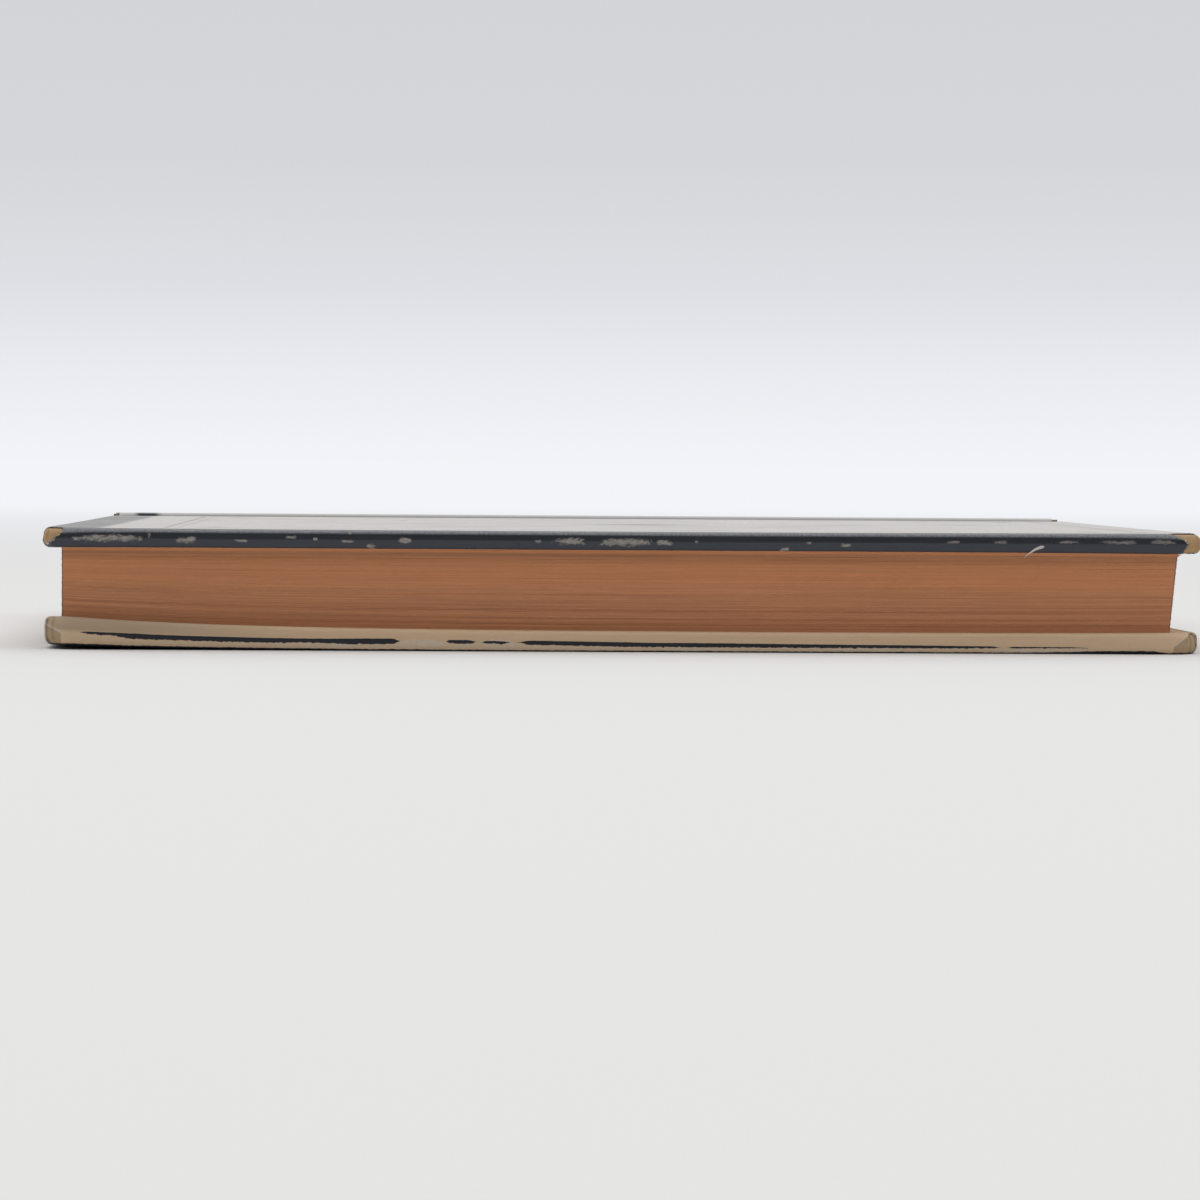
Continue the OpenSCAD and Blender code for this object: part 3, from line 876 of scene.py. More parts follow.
def page_edges():
    """Trimmed leaf edges with a terracotta stain that fades unevenly, with painted light on the upper
    part of the face and painted shade near the bottom
    """
    material, tree, place = new_material("page_edges")
    fine = tree.group("cut_layers", place=place, pitch=0.02, run=26.0)
    broad = tree.group("cut_layers", place=place, pitch=0.25, run=120.0)
    sparse = tree.group("cut_layers", place=place, pitch=0.07, run=18.0)
    grain = tree.group("paper_grain", place=place, fibres=4.0, clouds=0.02)
    stain = shade("pages")
    deep = tree.mix(0.3, stain, STAIN_SHADOW)
    paler_stain_and_light = shade("pages_thin_stain_and_lit")
    base = tree.mix(tree.times(tree.step(fine["Shade"], 0.4, 0.6), 0.6), stain, deep)
    base = tree.mix(tree.times(tree.step(broad["Shade"], 0.5, 0.75), 0.12), base, deep)
    base = tree.mix(tree.times(tree.step(sparse["Shade"], 0.64, 0.7), 0.7), base, deep)
    base = tree.mix(tree.times(tree.step(grain["Mottle"], 0.5, 0.8), 0.25), base, paler_stain_and_light)
    level = tree.parts(place)["Z"]
    # Painted light: the upper part of the page face and its top edge are lightened
    pale_start, pale_full, pale_fading, pale_end = 8.0, 12.5, 14.5, 16.2
    upper = tree.times(tree.step(level, pale_start, pale_full),
                       tree.rest(tree.step(level, pale_fading, pale_end)))
    base = tree.mix(tree.times(upper, 0.5), base, paler_stain_and_light)
    top = tree.step(level, PAGES_HIGH[2] - 0.5, PAGES_HIGH[2] - 0.2)
    base = tree.mix(tree.times(top, 0.8), base, paler_stain_and_light)
    # Painted shade near the back cover, partly a real darker stain
    bottom = tree.rest(tree.step(level, PAGES_LOW[2] - 0.2, PAGES_LOW[2] + 2.4))
    base = tree.mix(tree.times(bottom, 0.35), base, deep)
    base = tree.mix(tree.times(tree.field("corner"), 0.75), base, STAIN_SHADOW)
    height = tree.math("MULTIPLY_ADD", grain["Height"], 0.4, fine["Height"])
    surface(tree, base, 0.82, height, 0.04, Specular_IOR_Level=0.3)
    return material


def endpaper():
    """Uncoated cream paper, toned and foxed"""
    material, tree, place = new_material("endpaper")
    age = tree.group("foxing", place=place, spacing=0.09, amount=0.6)
    grain = tree.group("paper_grain", place=place, fibres=4.0, clouds=0.06)
    brown = tree.mix(0.5, shade("endpaper"), FOXING_BROWN)
    base = tree.mix(tree.times(age["Spots"], 0.8), shade("endpaper"), brown)
    base = tree.mix(tree.times(tree.step(age["Toning"], 0.4, 0.7), 0.22), base, brown)
    surface(tree, base, 0.85, grain["Height"], 0.03)
    return material


def gauze():
    """Open-weave gauze, stiff with glue"""
    material, tree, place = new_material("gauze", flat_place=False)
    parts = tree.parts(place)
    across = tree.math("ADD", parts["Y"], parts["Z"])
    threads = [tree.math("PINGPONG", value, 0.55) for value in (parts["X"], across)]
    gap = tree.times(tree.step(threads[0], 0.2, 0.4), tree.step(threads[1], 0.2, 0.4))
    base = tree.mix(gap, shade("gauze"), shade("glue"))
    surface(tree, base, 0.9, tree.rest(gap), 0.12)
    return material


def kraft():
    """Brown kraft paper"""
    material, tree, place = new_material("kraft", flat_place=False)
    grain = tree.group("paper_grain", place=place, fibres=3.0, clouds=0.2)
    base = tree.mix(tree.step(grain["Mottle"], 0.35, 0.7), shade("kraft"), shade("kraft_dark"))
    surface(tree, base, 0.85, grain["Height"], 0.04)
    return material


def spine_card():
    """Grey-brown card"""
    material, tree, place = new_material("spine_card", flat_place=False)
    layers = tree.group("cut_layers", place=place, pitch=0.4, run=8.0)
    base = tree.mix(tree.step(layers["Shade"], 0.35, 0.7), shade("card"), shade("card_dark"))
    surface(tree, base, 0.9, layers["Height"], 0.08)
    return material


def linen_thread():
    """Waxed linen thread with the turns of its twist and painted shade in the grooves between them"""
    material, tree, place = new_material("linen_thread", flat_place=False)
    parts = tree.parts(place)
    twist = tree.math("PINGPONG", tree.math("MULTIPLY_ADD", parts["X"], 1.2, parts["Z"]), 0.25)
    base = tree.mix(tree.step(twist, 0.05, 0.2), shade("thread_groove_shade"), shade("thread"))
    surface(tree, base, 0.6, twist, 0.1)
    return material


# The book's pieces

# Distance from a bare patch that counts as far away, in millimetres
FAR = 9.0


def cover_faces(which):
    """Grid, outer and inner surfaces of one cover's paper, and the fields kept on it"""
    sizes = bpy.context.scene.book_sizes
    wear = bpy.context.scene.book_wear
    front = which == "front"
    low, high = (FRONT_LOW.copy(), FRONT_HIGH.copy()) if front else (BACK_LOW.copy(), BACK_HIGH.copy())
    high[1] = JOINT_Y + sizes.paper / MM
    if front:
        low[1] += FORE_CLEARANCE
    else:
        high[2] = BACK_HIGH_FLAT
    xs = graded(low[0], high[0], 0.35, 2.4, 9.0)
    ys = graded(low[1], high[1], 0.35, 2.4, 7.0)
    zs = np.linspace(low[2], high[2], 15)
    points, faces = box_surface(xs, ys, zs)
    outer_arris, inner_arris = sizes.arris / MM, sizes.inner_arris / MM
    arrises = (outer_arris, inner_arris) if front else (inner_arris, outer_arris)
    corner = (sizes.corner if front else sizes.back_corner) / MM
    bullnose = sizes.bullnose / MM
    outer, turn = rounded(points, low, high, *arrises, corner, bullnose)
    paper = sizes.paper / MM
    inner_box = points * (high - low - 2 * paper) / (high - low)
    inner_box += (low + high) / 2 - (low + high) / 2 * (high - low - 2 * paper) / (high - low)
    inner, _ = rounded(inner_box, low + paper, high - paper,
                       *[arris - paper for arris in arrises], corner - paper, bullnose - paper)
    # Only the front cover's upper arrises get the rubbed ink and painted sheen
    turn = turn * (points[:, 2] > (low[2] + high[2]) / 2) * front
    reaches = (wear.bare_tail, wear.bare_head) if front else (wear.back_bare_tail, wear.back_bare_head)
    levels = (outer[:, 2] - low[2]) / (high[2] - low[2])
    tail_share = np.interp(levels, (0, 0.5, 1), (0.25, 0.75, 1.1) if front else (0.8, 1, 0.9))
    head_share = np.interp(levels, (0, 0.5, 0.8, 1), (0.6, 0.45, 0.7, 1) if front else (0.8, 1, 1, 0.9))
    bare = np.full(len(outer), FAR)
    flake = ripple(outer, 1.9, 1) * 0.9 + ripple(outer, 0.6, 2) * 0.45
    for side, reach, share in zip((-1, 1), reaches, (tail_share, head_share)):
        end_x = high[0] if side > 0 else low[0]
        away = np.hypot(outer[:, 0] - end_x, outer[:, 1] - low[1])
        bare = np.minimum(bare, away - reach / MM * share - flake)
    window_x = FRONT_BOARD[1][0] - sizes.turn_in / MM
    window_y = FRONT_BOARD[0][1] + sizes.turn_in / MM
    inner_z = low[2] if front else high[2]
    centre = outer[faces].mean(axis=1)
    flat = np.abs(points[faces][:, :, 2] - inner_z).max(axis=1) < 1e-6
    window = flat & (np.abs(centre[:, 0]) < window_x) & (centre[:, 1] > window_y)
    kept = ~window & (bare[faces].min(axis=1) > 0)
    return outer, inner, faces, kept, turn, bare


def swell_corners(points):
    """Points of the front cover moved by the swelling of its two fore-edge corners"""
    wear = bpy.context.scene.book_wear
    from_fore = np.maximum(points[:, 1] - FRONT_LOW[1], 0)
    from_head = np.maximum(FRONT_HIGH[0] - points[:, 0], 0)
    from_tail = np.maximum(points[:, 0] - FRONT_LOW[0], 0)
    head_reach, tail_reach, depth = 14, 6, 5
    tail_swell, tail_margin = 0.8, 0.5
    near = np.exp(-(from_head / head_reach + from_fore / depth))
    near += tail_swell * np.exp(-(from_tail / tail_reach + from_fore / depth))
    beyond = np.maximum(points[:, 0] - PAGES_HIGH[0], PAGES_LOW[1] - points[:, 1])
    beyond = np.maximum(beyond, PAGES_LOW[0] - points[:, 0] - tail_margin)
    overhang = 1.2
    free = np.clip(beyond / overhang, 0, 1)
    down = np.clip((FRONT_HIGH[2] - points[:, 2]) / (FRONT_HIGH[2] - FRONT_LOW[2]), 0, 1)
    moved = points.copy()
    moved[:, 2] -= wear.swell / MM * near * free * down
    warp_start, warp_depth, warp_curve, tail_share = 10, 40, 1.4, 0.75
    towards_head = np.clip((points[:, 0] - warp_start) / (FRONT_HIGH[0] - warp_start), 0, 1)
    towards_head = towards_head ** warp_curve
    rise = np.maximum(towards_head, tail_share * np.exp(-from_tail / head_reach))
    rise *= np.exp(-from_fore / warp_depth)
    moved[:, 2] += wear.warp / MM * rise * (1 - down)
    return moved


def with_lip(points, faces, turn, bare, low_z, high_z):
    """The cover paper with the strip that carries it down into the joint"""
    sizes = bpy.context.scene.book_sizes
    reach = FRONT_BOARD[1][0] - sizes.arris / MM
    columns, slope, end_gap = 60, 0.3, 0.1
    xs = np.linspace(-reach, reach, columns)
    ys = np.array([JOINT_Y - sizes.arris / MM, JOINT_Y + slope, LIP_Y - slope, FIXED_Y - end_gap])
    lip, quads = box_surface(xs, ys, np.array([low_z, high_z]))
    shift = len(points)
    joined = np.concatenate([points, lip])
    every = list(faces) + (quads + shift).tolist()
    blank = np.zeros(len(lip))
    return joined, every, np.concatenate([turn, blank]), np.concatenate([bare, blank + FAR])


# Root and tip of the torn sliver: place along the book and height, in millimetres
SLIVER = (np.array([70.9, 18.1]), np.array([67.6, 16.35]))
SLIVER_THICK = 0.1


def with_sliver(points, faces, turn, bare):
    """The cover paper with a torn sliver that hangs from its lower fore-edge arris"""
    root, tip = SLIVER
    bow, thinnest, widest, slant = 0.3, 0.05, 0.22, 0.4
    root_width, root_growth = 0.4, 4
    shares = np.linspace(0, 1, 9)
    rows = []
    for share in shares:
        x, z = root + (tip - root) * share
        z += bow * math.sin(share * math.pi)
        half = thinnest + widest * (1 - share) * min(1, root_width + share * root_growth)
        near = FORE_Y + 0.01
        far = near + SLIVER_THICK
        lean = half * slant
        rows += [(x - lean, near, z + half), (x + lean, near, z - half),
                 (x + lean, far, z - half), (x - lean, far, z + half)]
    shift = len(points)
    quads = []
    for row in range(len(shares) - 1):
        for side in range(4):
            a, b = shift + 4 * row + side, shift + 4 * row + (side + 1) % 4
            quads.append((a, b, b + 4, a + 4))
    last = shift + 4 * (len(shares) - 1)
    quads += [(shift + 3, shift + 2, shift + 1, shift), (last, last + 1, last + 2, last + 3)]
    count = len(rows)
    every = list(faces) + quads
    return (np.concatenate([points, rows]), every, np.concatenate([turn, np.zeros(count)]),
            np.concatenate([bare, np.full(count, -1.0)]))


def add_cover_paper(which, material):
    """The covering paper of one cover, wrapped over its board and worn through at the corners"""
    sizes = bpy.context.scene.book_sizes
    front = which == "front"
    outer, inner, faces, kept, turn, bare = cover_faces(which)
    points, quads = paper_shell(outer, inner, faces, kept)
    turn, bare = np.tile(turn, 2), np.tile(bare, 2)
    paper = sizes.paper / MM
    lip_z = FRONT_LOW[2] if front else BACK_HIGH_FLAT - paper
    points, quads, turn, bare = with_lip(points, quads, turn, bare, lip_z, lip_z + paper)
    if front:
        points, quads, turn, bare = with_sliver(points, quads, turn, bare)
    shaped = press(swell_corners(points) if front else points)
    return add_piece(f"{which}_cover_paper", shaped, quads, points, material, f"{which}_cover",
                     f"{which}_paper", [f"{which}_covering"], turn=turn, bare=bare)


def add_board(which, material):
    """A pulp board whose worn corners are swollen and fibrous"""
    sizes = bpy.context.scene.book_sizes
    front = which == "front"
    low, high = [corner.copy() for corner in (FRONT_BOARD if front else BACK_BOARD)]
    if front:
        low[1] += FORE_CLEARANCE
    else:
        high[2] = 2 * MIDDLE_Z - FRONT_BOARD[0][2]
    paper = sizes.paper / MM
    fine, coarse, reach, layers = 0.3, 8.0, 7.0, 14
    xs = graded(low[0], high[0], fine, coarse, reach)
    ys = graded(low[1], high[1], fine, coarse, reach)
    points, faces = box_surface(xs, ys, np.linspace(low[2], high[2], layers))
    outer_arris, inner_arris = sizes.arris / MM - paper, sizes.inner_arris / MM - paper
    arrises = (outer_arris, inner_arris) if front else (inner_arris, outer_arris)
    corner = (sizes.corner if front else sizes.back_corner) / MM
    flat, _ = rounded(points, low, high, *arrises, corner - paper, sizes.bullnose / MM - paper)
    fringe, growth, side_depth = 6.0, 5.0, 3.0
    along = np.abs(flat[:, 0]) - (high[0] - fringe)
    across = low[1] + fringe - flat[:, 1]
    near = np.clip(along / growth, 0, 1) * np.clip(across / growth, 0, 1)
    outward = np.zeros_like(flat)
    outward[:, 0] = np.sign(flat[:, 0])
    outward[:, 1] = np.where(flat[:, 1] < low[1] + side_depth, -1, 0)
    outward /= np.maximum(np.linalg.norm(outward, axis=1, keepdims=True), 1e-9)
    rough = 0.5 + 0.5 * ripple(flat * np.array([1, 1, 2.5]), 0.8, 3)
    least, fray = 0.02, 0.2
    frayed = flat + outward * (near * (least + fray * rough))[:, None]
    shaped = press(swell_corners(frayed) if front else frayed)
    return add_piece(f"{which}_pulp_board", shaped, faces, flat, material, f"{which}_cover",
                     "pulp_board", [f"{which}_board"])


class BOOK_OT_leaf_block(bpy.types.Operator):
    """Pages with trimmed, stained edges, pressed together at the curled corner"""
    bl_idname = "book.leaf_block"
    bl_label = "Pages"

    def execute(self, context):
        sizes = context.scene.book_sizes
        count = sizes.leaf_count
        rng = np.random.default_rng(5)
        low, high = PAGES_LOW.copy(), PAGES_HIGH.copy()
        skew = 1.2
        head_x = high[0]
        tail, fore, spine = low[0], low[1], high[1]
        side_lines, face_lines, back_lines = 22, 90, 12
        bevel, slant = 0.3, 0.7
        side_y = np.linspace(spine, fore, side_lines)
        inner_x = np.linspace(tail, head_x, face_lines)[1:-1]
        face_x = np.concatenate([[tail + bevel], inner_x, [head_x - bevel]])
        ring = [(tail, y, -1.0, 0.0) for y in side_y[:-1]]
        ring += [(tail, fore, -slant, -slant)]
        ring += [(x, fore, 0.0, -1.0) for x in face_x]
        ring += [(head_x, fore, slant, -slant)]
        ring += [(head_x, y, 1.0, 0.0) for y in side_y[::-1][1:]]
        ring += [(x, spine, 0.0, 0.0) for x in np.linspace(head_x, tail, back_lines)[1:-1]]
        ring = np.array(ring)
        levels = np.linspace(low[2], high[2], count + 1)
        loose_leaves = 3
        section_round = 0.3
        rows = []
        for leaf in range(count):
            step = abs(rng.normal(0, 1)) * sizes.leaf_step / MM
            swing = rng.uniform(0, 0.025, 2)
            phase = rng.uniform(0, 6.3, 2)
            pitch = rng.uniform((20, 60), (60, 160))
            turns = [swing[i] * np.sin(ring[:, 0] / pitch[i] * 6.3 + phase[i]) for i in (0, 1)]
            inset = step + np.abs(turns[0] + turns[1])
            share = (leaf + 0.5) / count
            lean = skew * (share - 1)
            above = leaf - (count - 1 - loose_leaves)
            lean += sizes.top_leaf / MM * max(above, 0) / loose_leaves
            section = abs((share * sizes.section_count) % 1 - 0.5) * 2
            for level in (levels[leaf], levels[leaf + 1]):
                x = ring[:, 0] - ring[:, 2] * inset
                y = ring[:, 1] - ring[:, 3] * inset
                x = x + lean * (ring[:, 0] - tail) / (head_x - tail) - sizes.page_shift / MM
                y = np.where(ring[:, 1] > spine - 0.01, spine - section_round * section ** 3, y)
                rows.append(np.stack([x, y, np.full(len(x), level)], axis=1))
        points = np.concatenate(rows)
        number = np.arange(len(points)).reshape(-1, len(ring))
        closed = np.concatenate([number, number[:, :1]], axis=1)
        corners = (closed[:-1, :-1], closed[:-1, 1:], closed[1:, 1:], closed[1:, :-1])
        faces = np.stack([c.ravel() for c in corners], axis=1).tolist()
        caps = [number[0, ::-1].tolist(), number[-1].tolist()]
        corner = np.tile(np.abs(ring[:, 2] * ring[:, 3]) > 0.1, len(number))
        add_piece("leaf_block", press(points), faces + caps, points, page_edges(), "book_block",
                  "stained_pages", ["text_block"], smooth=False, corner=corner)
        return {"FINISHED"}


class BOOK_OT_front_cover(bpy.types.Operator):
    """Front board and its printed covering paper"""
    bl_idname = "book.front_cover"
    bl_label = "Front cover"

    def execute(self, context):
        add_cover_paper("front", front_print())
        add_board("front", pulp_board())
        return {"FINISHED"}


class BOOK_OT_back_cover(bpy.types.Operator):
    """Back board and its covering paper, with the curled tail corner"""
    bl_idname = "book.back_cover"
    bl_label = "Back cover"

    def execute(self, context):
        add_cover_paper("back", back_print())
        add_board("back", bpy.data.materials["pulp_board"])
        return {"FINISHED"}


class BOOK_OT_spine(bpy.types.Operator):
    """Spine paper round its card strip, frayed at head and tail"""
    bl_idname = "book.spine"
    bl_label = "Spine"

    def execute(self, context):
        sizes = context.scene.book_sizes
        wear = context.scene.book_wear
        paper = sizes.paper / MM
        outer = self.outline(0.0)
        inner = self.outline(paper)
        half = SPINE_HIGH[0]
        xs = graded(-half, half, 0.35, 2.2, 6.0)
        sheets = []
        for line in (outer, inner):
            grid = np.array([[(x, y, z) for y, z in line] for x in xs])
            sheets.append(grid.reshape(-1, 3))
        number = np.arange(len(sheets[0])).reshape(len(xs), len(outer))
        corners = (number[:-1, :-1], number[:-1, 1:], number[1:, 1:], number[1:, :-1])
        faces = np.stack([c.ravel() for c in corners], axis=1)
        flake = ripple(sheets[0], 1.6, 4) * 0.7 + ripple(sheets[0], 0.6, 5) * 0.35
        depth = wear.fray / MM * (0.35 + 0.65 * np.abs(ripple(sheets[0] * np.array([0, 1, 1]), 3.0, 6)))
        bare = half - np.abs(sheets[0][:, 0]) - depth - flake
        lips = sheets[0][:, 1] < INLAY_LOW[1] - 1.0
        bare = np.where(lips, half - np.abs(sheets[0][:, 0]) - 1.1 - 0.2 * flake, bare)
        kept = bare[faces].min(axis=1) > 0
        points, quads = paper_shell(sheets[0], sheets[1], faces, kept)
        edge = np.minimum(SPINE_HIGH[2] - points[:, 2], points[:, 2] - SPINE_LOW[2])
        turn = np.clip(1 - edge / 0.9, 0, 1) * (points[:, 1] > INLAY_LOW[1])
        add_piece("spine_paper", points, quads, points, spine_print(), "book_block", "spine_paper",
                  ["spine_covering"], turn=turn, bare=np.tile(bare, 2))
        return {"FINISHED"}

    def outline(self, inset):
        """Section of the spine paper from the front joint round the card to the back joint"""
        upper = self.half_outline(SPINE_HIGH[2], inset)
        lower = self.half_outline(2 * MIDDLE_Z - SPINE_LOW[2], inset)
        return upper + [(y, 2 * MIDDLE_Z - z) for y, z in lower[::-1][1:]]

    def half_outline(self, ridge, inset):
        """Section from the front joint up over the ridge and down to the middle"""
        middle = MIDDLE_Z
        top = ridge - inset
        back = SPINE_HIGH[1] - inset
        paper = bpy.context.scene.book_sizes.paper / MM
        strip_rise = 0.45
        radius = (SPINE_HIGH[1] - INLAY_LOW[1] + paper) / 2 - inset
        near = INLAY_LOW[1] - paper + inset
        strip = FRONT_LOW[2] + strip_rise - inset
        centre_y = near + radius
        upper = [(FIXED_Y + t * (near - FIXED_Y), strip) for t in (0.0, 0.12, 0.4, 0.7, 0.9, 1.0)]
        upper += [(near, strip + t * (top - radius - strip)) for t in (0.15, 0.5, 1.0)]
        arc = [(centre_y - radius * math.cos(a), top - radius + radius * math.sin(a))
               for a in np.linspace(0, math.pi, 11)[1:]]
        upper += arc
        down = [(back, top - radius + (middle - top + radius) * t) for t in np.linspace(0, 1, 12)[1:]]
        return upper + down


class BOOK_OT_endpapers(bpy.types.Operator):
    """Flyleaves on the pages and pastedowns inside the covers"""
    bl_idname = "book.endpapers"
    bl_label = "Endpapers"

    def execute(self, context):
        material = endpaper()
        self.flyleaf("front", FRONT_LEAF, material)
        self.flyleaf("back", BACK_LEAF, material)
        self.pastedown("front", FRONT_PASTE, material)
        self.pastedown("back", BACK_PASTE, material)
        return {"FINISHED"}

    def stain(self, piece):
        """Gives the trimmed sides of a leaf the stain of the pages"""
        piece.data.materials.append(bpy.data.materials["page_edges"])
        for face in piece.data.polygons:
            if abs(face.normal.z) < 0.5 and face.normal.y < 0.5:
                face.material_index = 1

    def slab(self, low, high, extra):
        """Grid of a thin leaf with extra lines across it, and its upper points"""
        xs = graded(low[0], high[0], 1.2, 3.5, 12.0)
        ys = np.sort(np.concatenate([graded(low[1], high[1], 1.2, 3.5, 12.0), extra]))
        points, faces = box_surface(xs, ys, np.array([0.0, 1.0]))
        upper = points[:, 2] > 0.5
        trim = 0.06 * ripple(points * np.array([1, 1, 0]), 14.0, 7)
        fore = points[:, 1] < low[1] + 0.01
        points[fore, 1] += np.abs(trim[fore])
        return points, faces, upper

    def flyleaf(self, which, box, material):
        """The free leaf, with the fold that leads to the pastedown"""
        low, high = box
        front = which == "front"
        extra = np.array([FIXED_Y - 0.01, FIXED_Y + 0.01])
        points, faces, upper = self.slab(low, high, extra)
        leaf = PAGES_HIGH[2] if front else 2 * MIDDLE_Z - PAGES_HIGH[2]
        gutter = points[:, 1] > FIXED_Y
        thick = ENDPAPER * (1 + gutter)
        if front:
            points[:, 2] = np.where(upper, leaf + thick, leaf)
        else:
            points[:, 2] = np.where(upper, leaf, leaf - thick)
        points[:, 0] -= bpy.context.scene.book_sizes.page_shift / MM
        self.stain(add_piece(f"{which}_free_endpaper", press(points), faces, points, material,
                             "book_block", "endpaper", [f"{which}_flyleaf"], smooth=False))

    def pastedown(self, which, box, material):
        """The leaf glued inside a cover, sunk between the turn-ins"""
        sizes = bpy.context.scene.book_sizes
        low, high = box
        front = which == "front"
        window_y = FORE_Y + sizes.turn_in / MM
        window_x = FRONT_BOARD[1][0] - sizes.turn_in / MM
        joint_line = JOINT_Y - 3.0
        end_slope, fore_slope, sink = 0.6, 0.5, 0.22
        extra = np.array([window_y, window_y + fore_slope, joint_line - end_slope, joint_line])
        points, faces, upper = self.slab(low, high, extra)
        within_x = np.clip((window_x - np.abs(points[:, 0])) / end_slope, 0, 1)
        within_y = np.clip((points[:, 1] - window_y) / fore_slope, 0, 1)
        within_y *= np.clip((joint_line - points[:, 1]) / end_slope, 0, 1)
        sunk = sink * within_x * within_y
        face = FRONT_LOW[2] if front else BACK_HIGH_FLAT
        if front:
            points[:, 2] = np.where(upper, face + sunk, face - ENDPAPER + sunk)
        else:
            points[:, 2] = np.where(upper, face + ENDPAPER - sunk, face - sunk)
        points[:, 0] -= sizes.page_shift / MM
        shaped = press(points)
        self.stain(add_piece(f"{which}_glued_endpaper", shaped, faces, points, material,
                             f"{which}_cover", "endpaper", [f"{which}_pastedown"], smooth=False))


class BOOK_OT_joint_papers(bpy.types.Operator):
    """Paper across each joint"""
    bl_idname = "book.joint_papers"
    bl_label = "Joint papers"

    def execute(self, context):
        for which in ("front", "back"):
            self.strip(which, bpy.data.materials["endpaper"])
        return {"FINISHED"}

    def strip(self, which, material):
        """A strip from the cover's lip to the fixed paper behind it"""
        sizes = bpy.context.scene.book_sizes
        front = which == "front"
        overlap, side_gap = 0.35, 0.3
        above, below, thicker = 0.15, 0.05, 0.05
        reach = FRONT_BOARD[1][0] - sizes.arris / MM - side_gap
        xs = np.linspace(-reach, reach, 50)
        ys = np.concatenate([[LIP_Y - overlap], np.linspace(LIP_Y, FIXED_Y, 33), [FIXED_Y + overlap]])
        points, faces = box_surface(xs, ys, np.array([0.0, 1.0]))
        upper = points[:, 2] > 0.5
        share = np.clip((points[:, 1] - LIP_Y) / (FIXED_Y - LIP_Y), 0, 1)
        top = FRONT_LOW[2] + above + thicker * share
        bottom = np.full(len(points), FRONT_LOW[2] - below)
        points[:, 2] = np.where(upper, top, bottom)
        if not front:
            points[:, 2] = 2 * MIDDLE_Z - points[:, 2]
            faces = faces[:, ::-1]
        piece = add_piece(f"{which}_joint_paper", points, faces, points, material, None, "endpaper")
        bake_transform(piece)
        return piece


class BOOK_OT_inner_binding(bpy.types.Operator):
    """Finishes of the gauze, lining, spine card and threads"""
    bl_idname = "book.inner_binding"
    bl_label = "Inner binding"

    def execute(self, context):
        finishes = (("spine_mull", gauze), ("spine_lining", kraft), ("spine_inlay", spine_card),
                    ("sewing_threads", linen_thread))
        for node, finish in finishes:
            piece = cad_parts[node]
            piece.data.materials.clear()
            piece.data.materials.append(finish())
        return {"FINISHED"}


# The photograph's camera: place in metres, yaw, downward tilt and roll in degrees, lens in millimetres
CAMERA_PLACE = (-0.03536, -0.66780, 0.03343)
CAMERA_YAW = -2.940
CAMERA_TILT = 2.353
CAMERA_ROLL = 0.424
CAMERA_LENS = 106.31
SENSOR = 36.0

# The lamp over the table, in metres
LAMP_SIZE = (2.4, 1.8)
LAMP_PLACE = (0.0, -0.2, 1.7)


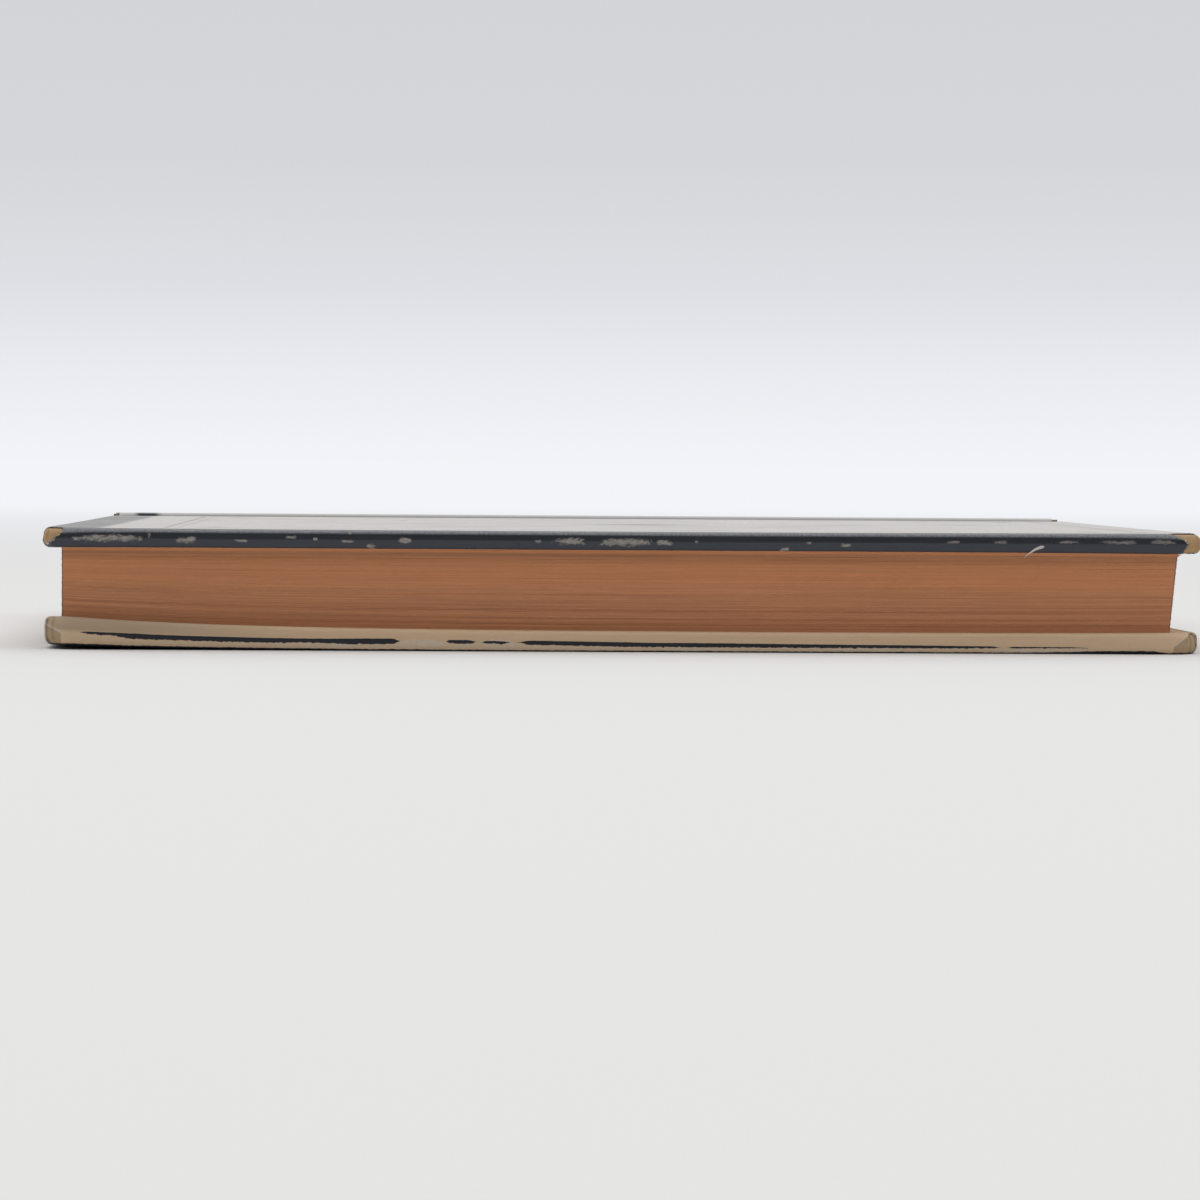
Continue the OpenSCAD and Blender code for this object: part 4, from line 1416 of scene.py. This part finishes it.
class BOOK_OT_stage(bpy.types.Operator):
    """Camera, pale floor, sky and soft lamp"""
    bl_idname = "book.stage"
    bl_label = "Stage"

    def execute(self, context):
        self.camera(context)
        self.floor(context)
        self.sky(context)
        self.lamp(context)
        context.scene.view_settings.view_transform = "Standard"
        return {"FINISHED"}

    def camera(self, context):
        """The photograph's view, just above the level of the book"""
        data = bpy.data.cameras.new("camera")
        data.lens = CAMERA_LENS
        data.sensor_width = SENSOR
        data.clip_start = 0.01
        camera = bpy.data.objects.new("camera", data)
        turn = Matrix.Rotation(math.radians(CAMERA_YAW), 4, "Z")
        tilt = Matrix.Rotation(math.radians(90 - CAMERA_TILT), 4, "X")
        roll = Matrix.Rotation(math.radians(CAMERA_ROLL), 4, "Z")
        camera.matrix_world = Matrix.Translation(CAMERA_PLACE) @ turn @ tilt @ roll
        context.scene.collection.objects.link(camera)
        context.scene.camera = camera

    def background(self, tree, direction_z):
        """Colour of the studio behind the table, by the sine of the height above the horizon"""
        ramp = tree.add("ValToRGB", tree.times(direction_z, 5.0))
        stops = ((0.0, 242, 243, 248), (0.115, 233, 235, 240), (0.235, 221, 223, 228),
                 (0.33, 216, 218, 222), (0.41, 213, 214, 218), (0.67, 211, 212, 215))
        elements = ramp.color_ramp.elements
        while len(elements) < len(stops):
            elements.new(0.5)
        for element, (at, red, green, blue) in zip(elements, stops):
            element.position = at
            element.color = srgb(red, green, blue)
        return ramp.outputs[0]

    def seen(self, tree):
        """1 for the rays of the camera, of mirrors and of glass"""
        rays = tree.add("LightPath").outputs
        return tree.most([rays["Is Camera Ray"], rays["Is Glossy Ray"], rays["Is Transmission Ray"]])

    def floor(self, context):
        """A wide table top that fades into the background on every side"""
        mesh = bpy.data.meshes.new("floor")
        reach = 12.0
        fade_start, fade_end, margin = 0.15, 1.6, 1.0
        corners = [(-reach, -reach, 0), (reach, -reach, 0), (reach, reach, 0), (-reach, reach, 0)]
        mesh.from_pydata(corners, [], [(0, 1, 2, 3)])
        material = bpy.data.materials.new("floor")
        material.use_nodes = True
        material.node_tree.nodes.clear()
        tree = Tree(material.node_tree)
        position = tree.add("TexCoord").outputs["Object"]
        parts = tree.parts(position)
        aside = tree.math("ABSOLUTE", parts["X"])
        before = tree.times(parts["Y"], -1.0)
        depth = tree.most([parts["Y"], tree.math("SUBTRACT", aside, margin),
                           tree.math("SUBTRACT", before, margin)])
        table = tree.add("BsdfDiffuse", shade("floor"))
        haze = srgb(243, 244, 249)
        glow = tree.add("Emission", haze, 1.0)
        fade = tree.times(self.seen(tree), tree.step(depth, fade_start, fade_end))
        joined = tree.add("MixShader", fade, table.outputs[0], glow.outputs[0])
        tree.add("OutputMaterial", joined.outputs[0])
        mesh.materials.append(material)
        floor = bpy.data.objects.new("floor", mesh)
        context.scene.collection.objects.link(floor)

    def sky(self, context):
        """Even light from all round, with the studio's colours where it is seen"""
        world = bpy.data.worlds.new("studio")
        world.use_nodes = True
        world.node_tree.nodes.clear()
        tree = Tree(world.node_tree)
        direction = tree.add("TexCoord").outputs["Generated"]
        height = tree.parts(direction)["Z"]
        depth = tree.parts(direction)["Y"]
        stage = context.scene.book_stage
        strength = tree.math("MULTIPLY_ADD", depth, stage.sky * stage.behind, stage.sky)
        even = tree.add("Background", srgb(250, 250, 252), strength)
        shown = tree.add("Background", self.background(tree, height), 1.0)
        joined = tree.add("MixShader", self.seen(tree), even.outputs[0], shown.outputs[0])
        tree.add("OutputWorld", joined.outputs[0])
        context.scene.world = world

    def lamp(self, context):
        """One broad soft lamp above the table"""
        data = bpy.data.lights.new("lamp", "AREA")
        data.shape = "RECTANGLE"
        data.size, data.size_y = LAMP_SIZE
        data.energy = context.scene.book_stage.lamp
        lamp = bpy.data.objects.new("lamp", data)
        lamp.location = LAMP_PLACE
        context.scene.collection.objects.link(lamp)


PIECE_OPERATORS = (BOOK_OT_stage, BOOK_OT_leaf_block, BOOK_OT_front_cover, BOOK_OT_back_cover,
                   BOOK_OT_spine, BOOK_OT_endpapers, BOOK_OT_joint_papers, BOOK_OT_inner_binding)


class BOOK_PT_panel(bpy.types.Panel):
    """Sizes, colours and wear of the book, and the steps that make it"""
    bl_label = "Hardback Book"
    bl_idname = "BOOK_PT_panel"
    bl_space_type = "VIEW_3D"
    bl_region_type = "UI"
    bl_category = "Book"

    def draw(self, context):
        scene = context.scene
        for group in (scene.book_sizes, scene.book_colours, scene.book_wear, scene.book_stage):
            box = self.layout.box()
            for key in group.__annotations__:
                box.prop(group, key)
        for operator in PIECE_OPERATORS:
            self.layout.operator(operator.bl_idname)


GROUPS = {"book_sizes": BookSizes, "book_colours": BookColours, "book_wear": BookWear,
          "book_stage": BookStage}


def register():
    """Adds the settings, the operators and the panel"""
    for kind in (*GROUPS.values(), *PIECE_OPERATORS, BOOK_PT_panel):
        bpy.utils.register_class(kind)
    for name, kind in GROUPS.items():
        setattr(bpy.types.Scene, name, PointerProperty(type=kind))


def unregister():
    """Takes them away again"""
    for name in GROUPS:
        delattr(bpy.types.Scene, name)
    for kind in (BOOK_PT_panel, *reversed(PIECE_OPERATORS), *reversed(GROUPS.values())):
        bpy.utils.unregister_class(kind)


def main():
    """Makes the whole book"""
    register()
    make_groups()
    for step in PIECE_OPERATORS:
        getattr(bpy.ops.book, step.bl_idname.split(".")[1])()


if __name__ == "__main__":
    main()
